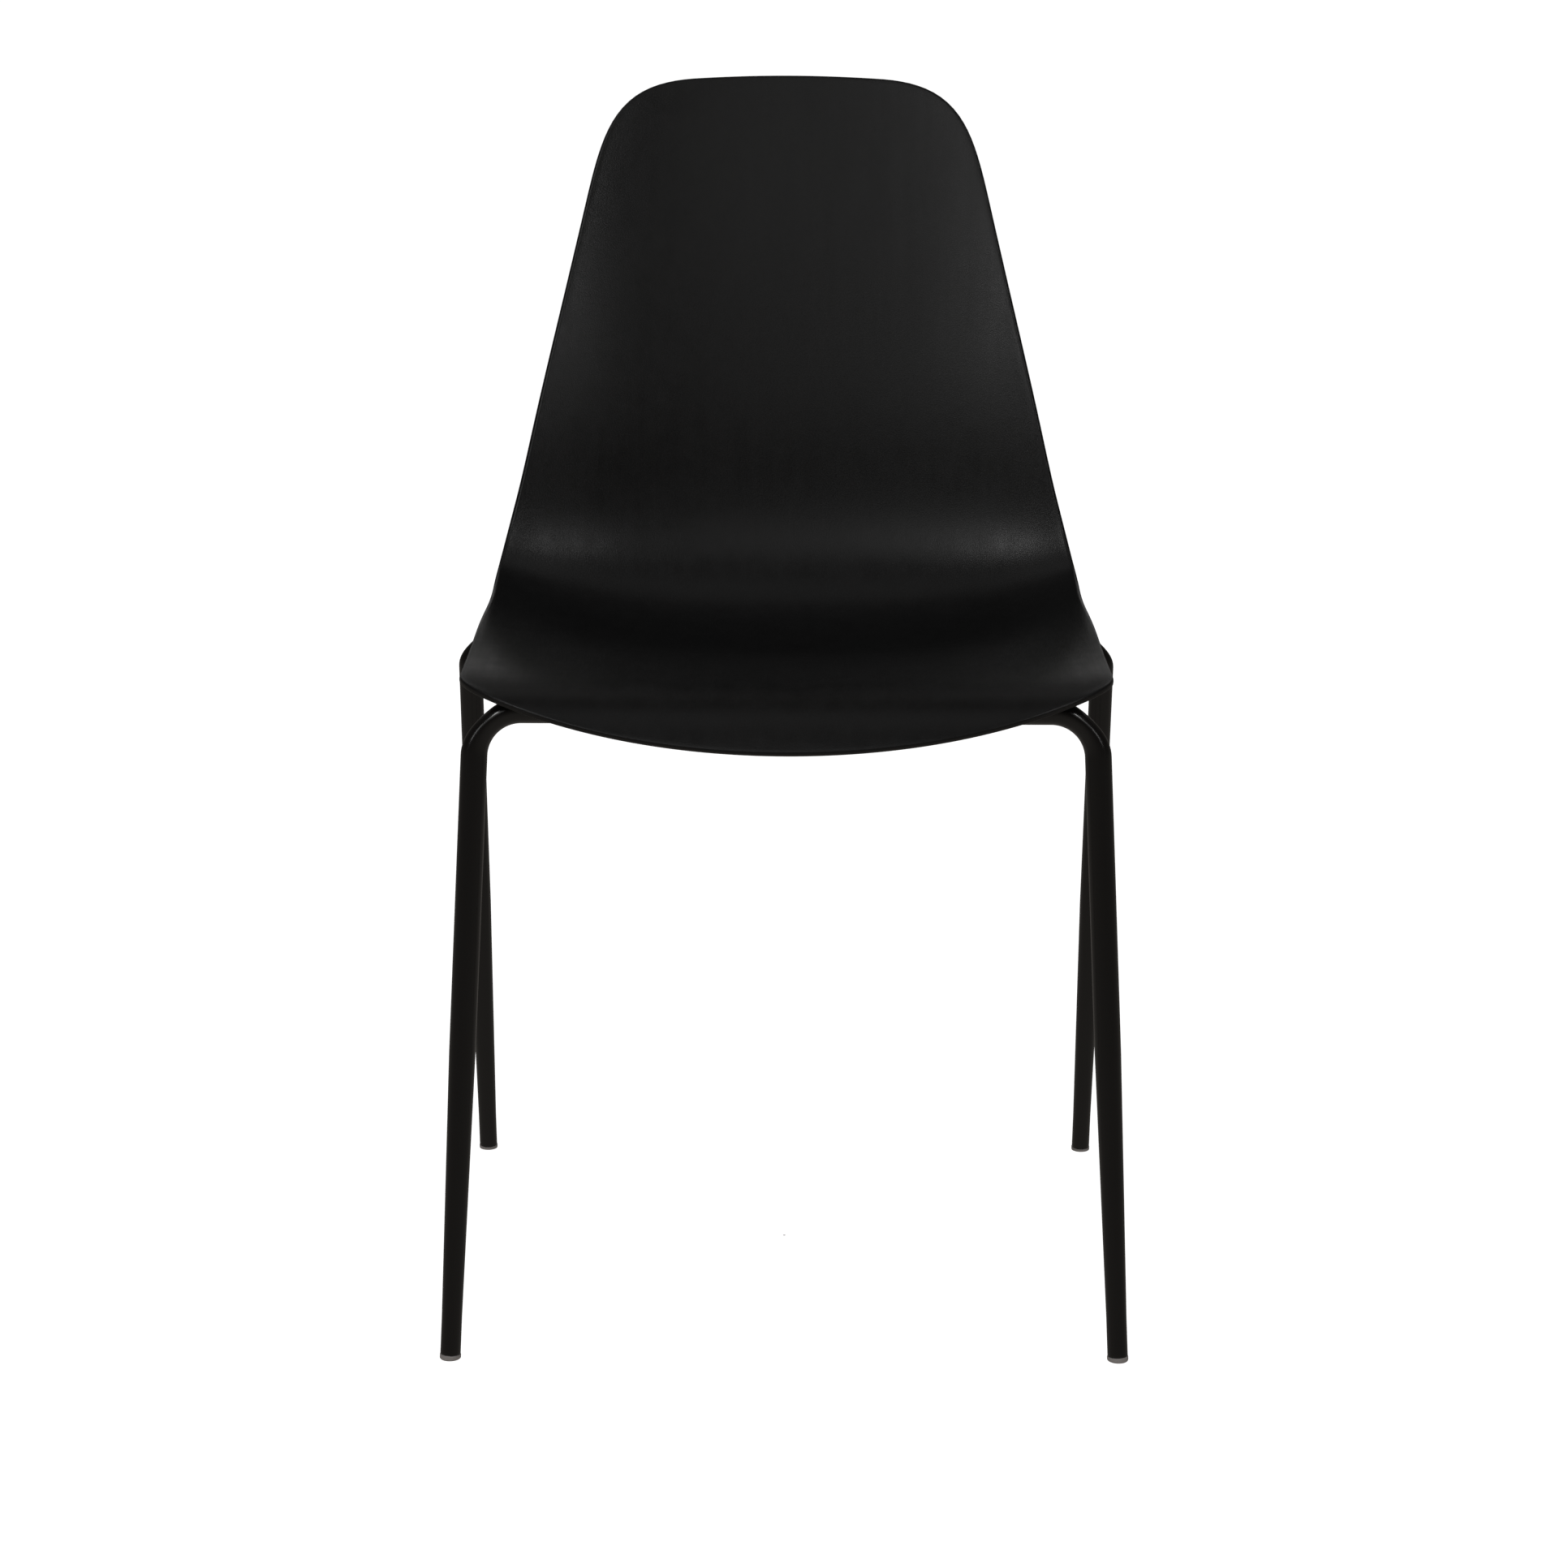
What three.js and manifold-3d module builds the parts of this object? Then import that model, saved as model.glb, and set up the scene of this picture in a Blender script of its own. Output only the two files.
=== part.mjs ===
// A stacking chair: a one-piece moulded shell on a frame of bent steel tube.
// Millimetres, +Z up. X is the width and the sitter faces -Y. The origin is on the floor, in the
// middle of the chair's outer box.

import * as THREE from 'three';
import Module from 'manifold-3d';
import { NURBSCurve } from 'three/addons/curves/NURBSCurve.js';
import { ParametricGeometry } from 'three/addons/geometries/ParametricGeometry.js';
import { mergeVertices } from 'three/addons/utils/BufferGeometryUtils.js';

const wasm = await Module();
wasm.setup();

// ---- driving dimensions ------------------------------------------------------------------------

const GAP = 0.3; // what touching pieces keep between them
const RIGHT_AND_LEFT = [['right', 1], ['left', -1]];

// The shell's centre line from the front lip to the top of the back, as the control points
// [y, z] of a cubic spline. The seat's crest is 463 high, its hollow 439, and the top 855.
const CENTRE_LINE = [
    [-253, 428], [-238, 452], [-205, 467], [-130, 461], [-20, 452], [90, 434],
    [172, 445], [212, 500], [222, 575], [243, 665], [266, 760], [291, 855],
];

const SHELL = {
    thickness: 4.5,
    halfWidth: 220, // of the seat
    frontRound: 85, // how far back along the seat its elliptical front edge reaches
    taperFrom: 464, // along the centre line, where the sides start to draw in
    taperEase: 62, // half the length over which they turn
    taper: 0.2175, // how much each side draws in for each millimetre
    topCorner: 110, // how far down the side a top corner starts
    topFlat: 72, // half the width of the crowned top edge
    topCrown: 3, // how much higher its middle is
    cornerPull: 0.575, // how square a top corner is: 0 is a straight cut, 1 is square
    dishFront: 2, // how far the side edges stand forward of the centre line, at the front lip,
    dishDeepest: 40, // where the seat turns into the back,
    dishTop: 13, // and at the top of the back
    dishDeepestAt: 440,
    edgeBevel: 1,
};

const TUBE = {
    radius: 9,
    wall: 1.5,
    footRadius: 7,
    taperFrom: 30, // from the foot, where the leg starts to widen
    taperTo: 215,
    bendFlattening: 0.3, // how much its outer side is drawn in, half way round a bend
};

// A leg hoop stands in a plane that leans. Its feet and its cross tube are given by centre lines.
const FRONT_HOOP = {
    footX: 229, footY: -232, shoulderX: 207.7, crossY: -198.5, crossZ: 446.8, bend: 32,
};
const REAR_HOOP = {
    footX: 240.5, footY: 231, shoulderX: 244.2, crossY: 172, crossZ: 428.8, bend: 20,
};

const RAIL = { x: 120, radius: 8, wall: 1.5 };

const TAB = { thickness: 3, width: 30, innerX: 74, holeX: 90, below: 3, cornerRadius: 6 };
const TAB_PLACES = [['front', 34], ['rear', 318]]; // along the rail from the front cross tube

const SCREW = {
    radius: 3, length: 16, tip: 1, headRadius: 5.3, headHeight: 3.3, socketAcross: 4, socketDepth: 2,
};
const HOLE_RADIUS = 3.3;
const WASHER = { radius: 7, thickness: 1.5 };
const INSERT = { radius: 4, length: 8, waist: 0.6, waistLength: 0.8 };
const BOSS = { radius: 9.5 };
const CLIP = { x: 90, width: 14, radius: 13, below: 3 };
const RIB = { thickness: 2.5, depth: 6, lengthSteps: 12, crossSteps: 6 };

const GLIDE = { radius: 7.3, height: 3.2, stemLength: 18, edge: 1, blankBelow: 4 };

const BUMPER = { length: 26, halfWidth: 12, depth: 13.5, lip: 1.5, bevel: 3.5 };
const BUMPER_PLACES = [['front', 84], ['rear', 252]]; // along the rail, as the tabs

const ROUND = 16; // sides of a round section
const OUTLINE_STEPS = 44; // along each half of the shell's outline
const SHELL_ROWS = 7; // from the shell's centre line to its edge

// ---- materials ---------------------------------------------------------------------------------

const finishes = {
    shell: { color: 0x1d1d1e, roughness: 0.5, metalness: 0 },
    powderCoat: { color: 0x16161a, roughness: 0.4, metalness: 0.1 },
    glide: { color: 0xa39d9c, roughness: 0.45, metalness: 0 },
    rubber: { color: 0x1a1a1a, roughness: 0.8, metalness: 0 },
    zinc: { color: 0x9ea1a4, roughness: 0.35, metalness: 0.9 },
    brass: { color: 0xb5934a, roughness: 0.35, metalness: 0.9 },
};

function named(name, geometry, finish) {
    const mesh = new THREE.Mesh(geometry, new THREE.MeshStandardMaterial(finishes[finish]));
    mesh.name = name;
    return mesh;
}

// ---- joining and cutting -----------------------------------------------------------------------

function toSolid(geometry) {
    const bare = geometry.index ? geometry.clone() : geometry;
    bare.deleteAttribute('normal');
    bare.deleteAttribute('uv');
    const merged = mergeVertices(bare, 1e-4);
    const corners = merged.index.array;
    const triangles = [];
    for (let i = 0; i < corners.length; i += 3) {
        const [a, b, c] = corners.slice(i, i + 3);
        if (a !== b && b !== c && c !== a) triangles.push(a, b, c);
    }
    return new wasm.Manifold(new wasm.Mesh({
        numProp: 3,
        vertProperties: new Float32Array(merged.attributes.position.array),
        triVerts: new Uint32Array(triangles),
    }));
}

function toGeometry(solid) {
    const mesh = solid.getMesh();
    const geometry = new THREE.BufferGeometry();
    geometry.setAttribute('position', new THREE.BufferAttribute(mesh.vertProperties, 3));
    geometry.setIndex(new THREE.BufferAttribute(mesh.triVerts, 1));
    return geometry;
}

function join(...geometries) {
    return toGeometry(geometries.map(toSolid).reduce((whole, piece) => whole.add(piece)));
}

function cut(geometry, ...tools) {
    const remove = (whole, tool) => whole.subtract(tool);
    return toGeometry(tools.map(toSolid).reduce(remove, toSolid(geometry)));
}

// ---- simple solids -----------------------------------------------------------------------------

// A cylinder along X, centred on the origin.
function rodAcross(radius, length, sides = ROUND) {
    return new THREE.CylinderGeometry(radius, radius, length, sides).rotateZ(Math.PI / 2);
}

// A solid of revolution about Z, from [radius, height] points that close on themselves or run
// from the axis to the axis, bottom first.
function turned(points, sides = ROUND) {
    const profile = points.map(([radius, height]) => new THREE.Vector2(radius, height));
    return new THREE.LatheGeometry(profile, sides).rotateX(Math.PI / 2);
}

function pillar(radius, bottom, top, sides = ROUND) {
    return turned([[0, bottom], [radius, bottom], [radius, top], [0, top]], sides);
}

// A flat outline pushed up along Z. Each of its arcs has a number of sides.
function extruded(outline, depth, arcSides) {
    const options = { depth, curveSegments: arcSides, bevelEnabled: false };
    return new THREE.ExtrudeGeometry(outline, options);
}

function ring(inner, outer, bottom, top) {
    return turned([[inner, bottom], [outer, bottom], [outer, top], [inner, top], [inner, bottom]]);
}

// ---- the shell's surface -----------------------------------------------------------------------

// A cubic spline that starts and ends on its first and last control points.
function clampedSpline(points) {
    const degree = 3;
    const spans = points.length - degree;
    const inner = Array.from({ length: spans - 1 }, (_, i) => (i + 1) / spans);
    const knots = [0, 0, 0, 0, ...inner, 1, 1, 1, 1];
    return new NURBSCurve(degree, knots, points);
}

const centreLine = clampedSpline(CENTRE_LINE.map(([y, z]) => new THREE.Vector4(0, y, z, 1)));
centreLine.arcLengthDivisions = 1000;
const CENTRE_LENGTH = centreLine.getLength();

// Half the shell's width before its corners are rounded, at a distance along the centre line.
function halfWidthAt(along) {
    const { halfWidth, taper, taperFrom, taperEase } = SHELL;
    const past = THREE.MathUtils.clamp(along - taperFrom + taperEase, 0, 2 * taperEase);
    const beyond = Math.max(along - taperFrom - taperEase, 0);
    return halfWidth - taper * (past * past / (4 * taperEase) + beyond);
}

function dishAt(along) {
    const { dishFront, dishDeepest, dishTop, dishDeepestAt } = SHELL;
    const { lerp, smootherstep } = THREE.MathUtils;
    if (along < dishDeepestAt) {
        return lerp(dishFront, dishDeepest, smootherstep(along, 0, dishDeepestAt));
    }
    return lerp(dishDeepest, dishTop, smootherstep(along, dishDeepestAt, CENTRE_LENGTH));
}

// A point of the sitter's side of the shell, across from and along the centre line.
function facePoint(across, along) {
    const at = THREE.MathUtils.clamp(along / CENTRE_LENGTH, 0, 1);
    const point = centreLine.getPointAt(at);
    const tangent = centreLine.getTangentAt(at);
    const share = (across / halfWidthAt(along)) ** 2;
    const rise = dishAt(along) * (share + share * share) / 2;
    return new THREE.Vector3(across, point.y - tangent.z * rise, point.z + tangent.y * rise);
}

// The same point moved a depth into the shell, square to its surface.
function shellPoint(across, along, depth) {
    const step = 1;
    const back = Math.min(along, CENTRE_LENGTH - step);
    const acrossStep = facePoint(across + step, along).sub(facePoint(across - step, along));
    const alongStep = facePoint(across, back + step).sub(facePoint(across, Math.max(back - step, 0)));
    const normal = acrossStep.cross(alongStep).normalize();
    return facePoint(across, along).addScaledVector(normal, -depth);
}

// The right half of the shell's outline, [across, along], from the middle of the front edge to
// the middle of the top edge.
function halfOutline() {
    const { halfWidth, frontRound, taper, taperFrom, taperEase, topCorner, topFlat, topCrown } = SHELL;
    const turnEnd = taperFrom + taperEase;
    const cornerStart = CENTRE_LENGTH - topCorner;
    const crownEdge = CENTRE_LENGTH - topCrown;
    const cornerPull = SHELL.cornerPull * topCorner;
    const crownSlope = 2 * topCrown / topFlat;
    const path = new THREE.Path();
    path.absellipse(0, frontRound, halfWidth, frontRound, -Math.PI / 2, 0);
    path.lineTo(halfWidth, taperFrom - taperEase);
    path.quadraticCurveTo(halfWidth, taperFrom, halfWidthAt(turnEnd), turnEnd);
    path.lineTo(halfWidthAt(cornerStart), cornerStart);
    path.bezierCurveTo(
        halfWidthAt(cornerStart) - taper * cornerPull, cornerStart + cornerPull,
        topFlat + cornerPull, crownEdge - crownSlope * cornerPull,
        topFlat, crownEdge,
    );
    path.quadraticCurveTo(topFlat / 2, CENTRE_LENGTH, 0, CENTRE_LENGTH);
    return path.getSpacedPoints(OUTLINE_STEPS);
}

// The bare shell. Its rows run from the centre line, out over the face, round the edge and back
// under the shell to the centre line.
function shellSheet() {
    const { thickness, edgeBevel, frontRound } = SHELL;
    const right = halfOutline();
    const left = right.map(({ x, y }) => new THREE.Vector2(-x, y));
    const outline = [...left, ...right.slice(0, -1).reverse()];
    const spineStart = frontRound;
    const spineEnd = CENTRE_LENGTH - frontRound;
    const rows = Array.from({ length: SHELL_ROWS + 1 }, (_, i) => i / SHELL_ROWS);
    const stations = [
        ...rows.map((share) => ({ share, inset: edgeBevel, depth: 0 })),
        { share: 1, inset: 0, depth: edgeBevel },
        { share: 1, inset: 0, depth: thickness - edgeBevel },
        ...rows.toReversed().map((share) => ({ share, inset: edgeBevel, depth: thickness })),
    ];
    const lay = (u, v, target) => {
        const k = Math.round(u * 2 * OUTLINE_STEPS);
        const { share, inset, depth } = stations[Math.round(v * (stations.length - 1))];
        const edge = outline[k];
        const turn = Math.min(k, 2 * OUTLINE_STEPS - k) / OUTLINE_STEPS;
        const spine = THREE.MathUtils.lerp(spineStart, spineEnd, turn);
        const reach = share * (1 - inset / Math.hypot(edge.x, edge.y - spine));
        target.copy(shellPoint(reach * edge.x, spine + reach * (edge.y - spine), depth));
    };
    return new ParametricGeometry(lay, 2 * OUTLINE_STEPS, stations.length - 1);
}

// ---- leg hoops ---------------------------------------------------------------------------------

// A path that is told its own points and directions, so that a tube has a ring at each of them.
class StationPath extends THREE.Curve {
    constructor(stations) {
        super();
        this.stations = stations;
    }

    at(share) {
        return this.stations[Math.round(share * (this.stations.length - 1))];
    }

    getPointAt(share, target = new THREE.Vector3()) {
        return target.copy(this.at(share).point);
    }

    getTangentAt(share, target = new THREE.Vector3()) {
        return target.copy(this.at(share).direction);
    }
}

// How a hoop stands: the lean of its plane, and in that plane the slant of its legs and the centre
// of its right bend.
function hoopLayout({ footX, footY, shoulderX, crossY, crossZ, bend }) {
    const lean = Math.atan2(footY - crossY, crossZ);
    const height = Math.hypot(footY - crossY, crossZ);
    const slant = Math.atan2(footX - shoulderX, height);
    const bendStart = (height - bend + bend * Math.sin(slant)) / Math.cos(slant);
    const shoulder = new THREE.Vector3(
        footX - bendStart * Math.sin(slant) - bend * Math.cos(slant),
        0,
        bendStart * Math.cos(slant) - bend * Math.sin(slant),
    );
    return { footX, footY, crossY, crossZ, bend, lean, height, slant, shoulder };
}

// The right half of a hoop's centre line in its own XZ plane, from the foot up and inwards.
function hoopStations({ footX, bend, height, slant, shoulder }, footEnd) {
    const bendSteps = 8;
    const up = new THREE.Vector3(-Math.sin(slant), 0, Math.cos(slant));
    const foot = new THREE.Vector3(footX, 0, 0);
    const leg = [footEnd, TUBE.taperFrom, TUBE.taperTo].map((far) => ({
        point: foot.clone().addScaledVector(up, far),
        direction: up,
    }));
    const corner = Array.from({ length: bendSteps + 1 }, (_, i) => {
        const angle = THREE.MathUtils.lerp(slant, Math.PI / 2, i / bendSteps);
        const radial = new THREE.Vector3(Math.cos(angle), 0, Math.sin(angle));
        const direction = new THREE.Vector3(-Math.sin(angle), 0, Math.cos(angle));
        return { point: shoulder.clone().addScaledVector(radial, bend), direction };
    });
    const middle = { point: new THREE.Vector3(0, 0, height), direction: new THREE.Vector3(-1, 0, 0) };
    return [...leg, ...corner, middle];
}

function mirrored(stations) {
    return stations.map(({ point, direction }) => ({
        point: new THREE.Vector3(-point.x, 0, point.z),
        direction: new THREE.Vector3(direction.x, 0, -direction.z),
    })).reverse();
}

// Draws the legs of a straight hoop in towards their feet, and keeps the wall as it is.
function taperLegs(geometry, layout) {
    const place = geometry.attributes.position;
    for (let i = 0; i < place.count; i++) {
        const point = new THREE.Vector3().fromBufferAttribute(place, i);
        const side = Math.sign(point.x) || 1;
        const foot = new THREE.Vector3(side * layout.footX, 0, 0);
        const up = new THREE.Vector3(-side * Math.sin(layout.slant), 0, Math.cos(layout.slant));
        const far = point.clone().sub(foot).dot(up);
        if (far > TUBE.taperTo) continue;
        const axisPoint = foot.addScaledVector(up, far);
        const radial = point.sub(axisPoint);
        const left = (TUBE.taperTo - far) / (TUBE.taperTo - TUBE.taperFrom);
        const drawnIn = (TUBE.radius - TUBE.footRadius) * THREE.MathUtils.clamp(left, 0, 1);
        radial.setLength(radial.length() - drawnIn);
        place.setXYZ(i, ...axisPoint.add(radial));
    }
}

// Draws in the outside of both bends of a hoop, as bending does.
function flattenBends(geometry, { bend, slant, shoulder }) {
    const place = geometry.attributes.position;
    for (let i = 0; i < place.count; i++) {
        const side = Math.sign(place.getX(i)) || 1;
        const across = side * place.getX(i) - shoulder.x;
        const up = place.getZ(i) - shoulder.z;
        const turn = (Math.atan2(up, across) - slant) / (Math.PI / 2 - slant);
        const far = Math.hypot(across, up);
        if (turn <= 0 || turn >= 1 || far <= bend) continue;
        const kept = 1 - TUBE.bendFlattening * Math.sin(Math.PI * turn) ** 2;
        const scale = (bend + (far - bend) * kept) / far;
        place.setX(i, side * (shoulder.x + across * scale));
        place.setZ(i, shoulder.z + up * scale);
    }
}

function hoopTube(layout) {
    const half = hoopStations(layout, GLIDE.height + GAP);
    const stations = [...half, ...mirrored(half).slice(1)];
    const section = new THREE.Shape().absarc(0, 0, TUBE.radius, 0, 2 * Math.PI);
    section.holes.push(new THREE.Path().absarc(0, 0, TUBE.radius - TUBE.wall, 0, 2 * Math.PI));
    const geometry = new THREE.ExtrudeGeometry(section, {
        steps: stations.length - 1,
        curveSegments: ROUND / 2, // of a half circle
        extrudePath: new StationPath(stations),
    });
    taperLegs(geometry, layout);
    flattenBends(geometry, layout);
    return geometry;
}

// A glide: a round foot with a stem that plugs the tube, cut flat at the floor.
function glideSolid(stand) {
    const { radius, height, stemLength, edge, blankBelow } = GLIDE;
    const stem = TUBE.footRadius - TUBE.wall - GAP;
    const body = turned([
        [0, -blankBelow], [radius - edge, -blankBelow], [radius - edge, 0], [radius, edge],
        [radius, height], [stem, height], [stem, height + stemLength - edge],
        [stem - edge, height + stemLength], [0, height + stemLength],
    ]);
    const foot = new THREE.Vector3().setFromMatrixPosition(stand);
    const size = 8 * radius;
    const ground = new THREE.BoxGeometry(size, size, size).translate(foot.x, foot.y, -size / 2);
    return cut(body, ground.applyMatrix4(stand.clone().invert()));
}

function legHoop(end, size) {
    const layout = hoopLayout(size);
    const hoop = new THREE.Group();
    hoop.position.set(0, layout.footY, 0);
    hoop.rotation.x = layout.lean;
    hoop.add(named(`${end}_leg_hoop`, hoopTube(layout), 'powderCoat'));
    for (const [side, sign] of RIGHT_AND_LEFT) {
        const glide = named(`${end}_${side}_glide`, undefined, 'glide');
        glide.position.set(sign * layout.footX, 0, 0);
        glide.rotation.y = -sign * layout.slant;
        hoop.add(glide);
        hoop.updateMatrixWorld(true);
        glide.geometry = glideSolid(glide.matrixWorld);
    }
    return hoop;
}

// ---- rails, tabs and fasteners -----------------------------------------------------------------

const railRun = new THREE.Vector2(
    REAR_HOOP.crossY - FRONT_HOOP.crossY,
    REAR_HOOP.crossZ - FRONT_HOOP.crossZ,
);

// The frame that the rails and all that hangs on them are built in: its origin is the middle of
// the front cross tube, and its Y runs back along the rails to the rear cross tube.
const railFrame = new THREE.Group();
railFrame.position.set(0, FRONT_HOOP.crossY, FRONT_HOOP.crossZ);
railFrame.rotation.x = railRun.angle();
railFrame.updateMatrixWorld(true);

function railTube() {
    const { radius, wall } = RAIL;
    const inner = radius - wall;
    const length = railRun.length();
    const tube = ring(inner, radius, 0, length).rotateX(-Math.PI / 2);
    const frontTube = rodAcross(TUBE.radius + GAP, 4 * radius);
    const rearTube = rodAcross(TUBE.radius + GAP, 4 * radius).translate(0, length, 0);
    return cut(tube, frontTube, rearTube);
}

function tabPlate(sign) {
    const { thickness, width, innerX, holeX, cornerRadius } = TAB;
    const plate = new THREE.Shape();
    plate.moveTo(RAIL.x, width / 2);
    plate.lineTo(innerX + cornerRadius, width / 2);
    plate.absarc(innerX + cornerRadius, width / 2 - cornerRadius, cornerRadius, Math.PI / 2, Math.PI);
    plate.absarc(innerX + cornerRadius, cornerRadius - width / 2, cornerRadius, Math.PI, 1.5 * Math.PI);
    plate.lineTo(RAIL.x, -width / 2);
    plate.holes.push(new THREE.Path().absarc(holeX, 0, HOLE_RADIUS, 0, 2 * Math.PI));
    const solid = extruded(plate, thickness, 6);
    const rail = rodAcross(RAIL.radius + GAP, 2 * width).rotateZ(Math.PI / 2);
    rail.translate(RAIL.x, 0, thickness + TAB.below);
    return cut(solid, rail).rotateZ(sign < 0 ? Math.PI : 0);
}

function screwSolid() {
    const { radius, length, tip, headRadius, headHeight, socketAcross, socketDepth } = SCREW;
    const domeAngles = [0, Math.PI / 6, Math.PI / 3, Math.PI / 2];
    const dome = domeAngles.map((angle) => [headRadius * Math.sin(angle), -headHeight * Math.cos(angle)]);
    const body = turned([
        ...dome, [radius, 0], [radius, length - tip], [radius - tip, length], [0, length],
    ]);
    const socketRadius = socketAcross / Math.sqrt(3);
    const socket = pillar(socketRadius, -2 * headHeight, socketDepth - headHeight, 6);
    return cut(body, socket);
}

function insertSolid() {
    const { radius, length, waist, waistLength } = INSERT;
    const middle = length / 2;
    return turned([
        [HOLE_RADIUS, 0], [radius, 0],
        [radius, middle - waistLength], [radius - waist, middle - waistLength / 2],
        [radius - waist, middle + waistLength / 2], [radius, middle + waistLength],
        [radius, length], [HOLE_RADIUS, length], [HOLE_RADIUS, 0],
    ]);
}

// The heights of one fixing, in the rail frame: from the tab up to the screw's tip, and down.
const tabTop = -TAB.below;
const tabBottom = tabTop - TAB.thickness;
const washerTop = tabBottom - GAP;
const screwSeat = washerTop - WASHER.thickness - GAP;
const bossFoot = tabTop + GAP;
const insertFoot = bossFoot + GAP;
const insertTop = insertFoot + INSERT.length;
const bossHoleTop = screwSeat + SCREW.length + GAP;

function fixings() {
    for (const [side, sign] of RIGHT_AND_LEFT) {
        for (const [end, along] of TAB_PLACES) {
            const hole = [sign * TAB.holeX, along];
            const tab = named(`${end}_${side}_mounting_tab`, tabPlate(sign), 'powderCoat');
            tab.position.set(0, along, tabBottom);
            const washer = ring(HOLE_RADIUS, WASHER.radius, -WASHER.thickness, 0);
            const pieces = [
                [`${end}_${side}_washer`, washer, 'zinc', washerTop],
                [`${end}_${side}_mounting_screw`, screwSolid(), 'zinc', screwSeat],
                [`${end}_${side}_threaded_insert`, insertSolid(), 'brass', insertFoot],
            ];
            railFrame.add(tab);
            for (const [name, geometry, finish, height] of pieces) {
                const piece = named(name, geometry, finish);
                piece.position.set(...hole, height);
                railFrame.add(piece);
            }
        }
    }
}

// A stacking bumper: a rubber saddle that clips over the rail from below, with a flat sole.
function bumperSolid() {
    const { length, halfWidth, depth, lip, bevel } = BUMPER;
    const bore = RAIL.radius + GAP;
    const opening = Math.asin(lip / bore);
    const section = new THREE.Shape();
    section.moveTo(bore * Math.cos(opening), lip);
    section.lineTo(halfWidth, lip);
    section.lineTo(halfWidth, bevel - depth);
    section.lineTo(halfWidth - bevel, -depth);
    section.lineTo(bevel - halfWidth, -depth);
    section.lineTo(-halfWidth, bevel - depth);
    section.lineTo(-halfWidth, lip);
    section.absarc(0, 0, bore, Math.PI - opening, opening, false);
    return extruded(section, length, 8).rotateX(Math.PI / 2).translate(0, length / 2, 0);
}

function rails() {
    for (const [side, sign] of RIGHT_AND_LEFT) {
        const rail = named(`${side}_seat_rail`, railTube(), 'powderCoat');
        rail.position.x = sign * RAIL.x;
        railFrame.add(rail);
        for (const [end, along] of BUMPER_PLACES) {
            const bumper = named(`${end}_${side}_stacking_bumper`, bumperSolid(), 'rubber');
            bumper.position.set(sign * RAIL.x, along, 0);
            railFrame.add(bumper);
        }
    }
}

// ---- the moulded shell with its underside features ---------------------------------------------

// The distance along the centre line at which it has a given y.
function alongAtY(y) {
    const tolerance = 0.01;
    let low = 0;
    let high = CENTRE_LENGTH;
    while (high - low > tolerance) {
        const middle = (low + high) / 2;
        if (centreLine.getPointAt(middle / CENTRE_LENGTH).y < y) low = middle;
        else high = middle;
    }
    return low;
}

const tabYs = TAB_PLACES.map(([, along]) => railFrame.localToWorld(new THREE.Vector3(0, along, 0)).y);

function bossPlaces() {
    return RIGHT_AND_LEFT.flatMap(([, sign]) => TAB_PLACES.map(([, along], i) => {
        const x = sign * TAB.holeX;
        const middle = shellPoint(x, alongAtY(tabYs[i]), SHELL.thickness / 2);
        return { x, along, top: railFrame.worldToLocal(middle).z };
    }));
}

// A box whose length follows the shell's underside, from inside the wall down to a depth.
function ribOnShell(centreAcross, acrossSize, fromAlong, toAlong, steps) {
    const top = SHELL.thickness / 2;
    const bottom = SHELL.thickness + RIB.depth;
    const rib = new THREE.BoxGeometry(acrossSize, toAlong - fromAlong, bottom - top, ...steps);
    rib.translate(centreAcross, (fromAlong + toAlong) / 2, -(top + bottom) / 2);
    const place = rib.attributes.position;
    for (let i = 0; i < place.count; i++) {
        place.setXYZ(i, ...shellPoint(place.getX(i), place.getY(i), -place.getZ(i)));
    }
    return rib;
}

function ribs() {
    const [frontAlong, rearAlong] = tabYs.map(alongAtY);
    const halfRib = RIB.thickness / 2;
    const lengthways = [-TAB.holeX, TAB.holeX].map((x) => (
        ribOnShell(x, RIB.thickness, frontAlong, rearAlong, [1, RIB.lengthSteps, 1])));
    const crossways = [frontAlong, rearAlong].map((along) => (
        ribOnShell(0, 2 * TAB.holeX, along - halfRib, along + halfRib, [RIB.crossSteps, 1, 1])));
    return [...lengthways, ...crossways];
}

// A moulded hook that locates the shell on the front cross tube.
function clipSolid(x) {
    const { width, radius, below } = CLIP;
    const hook = rodAcross(radius, width, 2 * ROUND);
    const bore = rodAcross(TUBE.radius + GAP, 2 * width, 2 * ROUND);
    const underside = new THREE.BoxGeometry(2 * width, 4 * radius, 2 * radius);
    underside.translate(0, 0, -radius - below);
    return cut(hook, bore, underside).translate(x, FRONT_HOOP.crossY, FRONT_HOOP.crossZ);
}

// Moves an upright solid to a place on the rails' plane.
function onRails(geometry, x, along) {
    return geometry.translate(x, along, 0).applyMatrix4(railFrame.matrixWorld);
}

function seatShell() {
    const places = bossPlaces();
    const bosses = places.map(({ x, along, top }) => (
        onRails(pillar(BOSS.radius, bossFoot, top), x, along)));
    const holes = places.flatMap(({ x, along }) => [
        onRails(pillar(INSERT.radius + GAP, bossFoot - GAP, insertTop + GAP), x, along),
        onRails(pillar(HOLE_RADIUS, bossFoot - GAP, bossHoleTop), x, along),
    ]);
    const clips = [-CLIP.x, CLIP.x].map(clipSolid);
    const frontTube = rodAcross(TUBE.radius + GAP, 4 * TAB.holeX, 2 * ROUND);
    frontTube.translate(0, FRONT_HOOP.crossY, FRONT_HOOP.crossZ);
    const moulding = join(shellSheet(), ...bosses, ...ribs(), ...clips);
    return named('seat_shell', cut(moulding, frontTube, ...holes), 'shell');
}

// ---- the chair ---------------------------------------------------------------------------------

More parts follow.
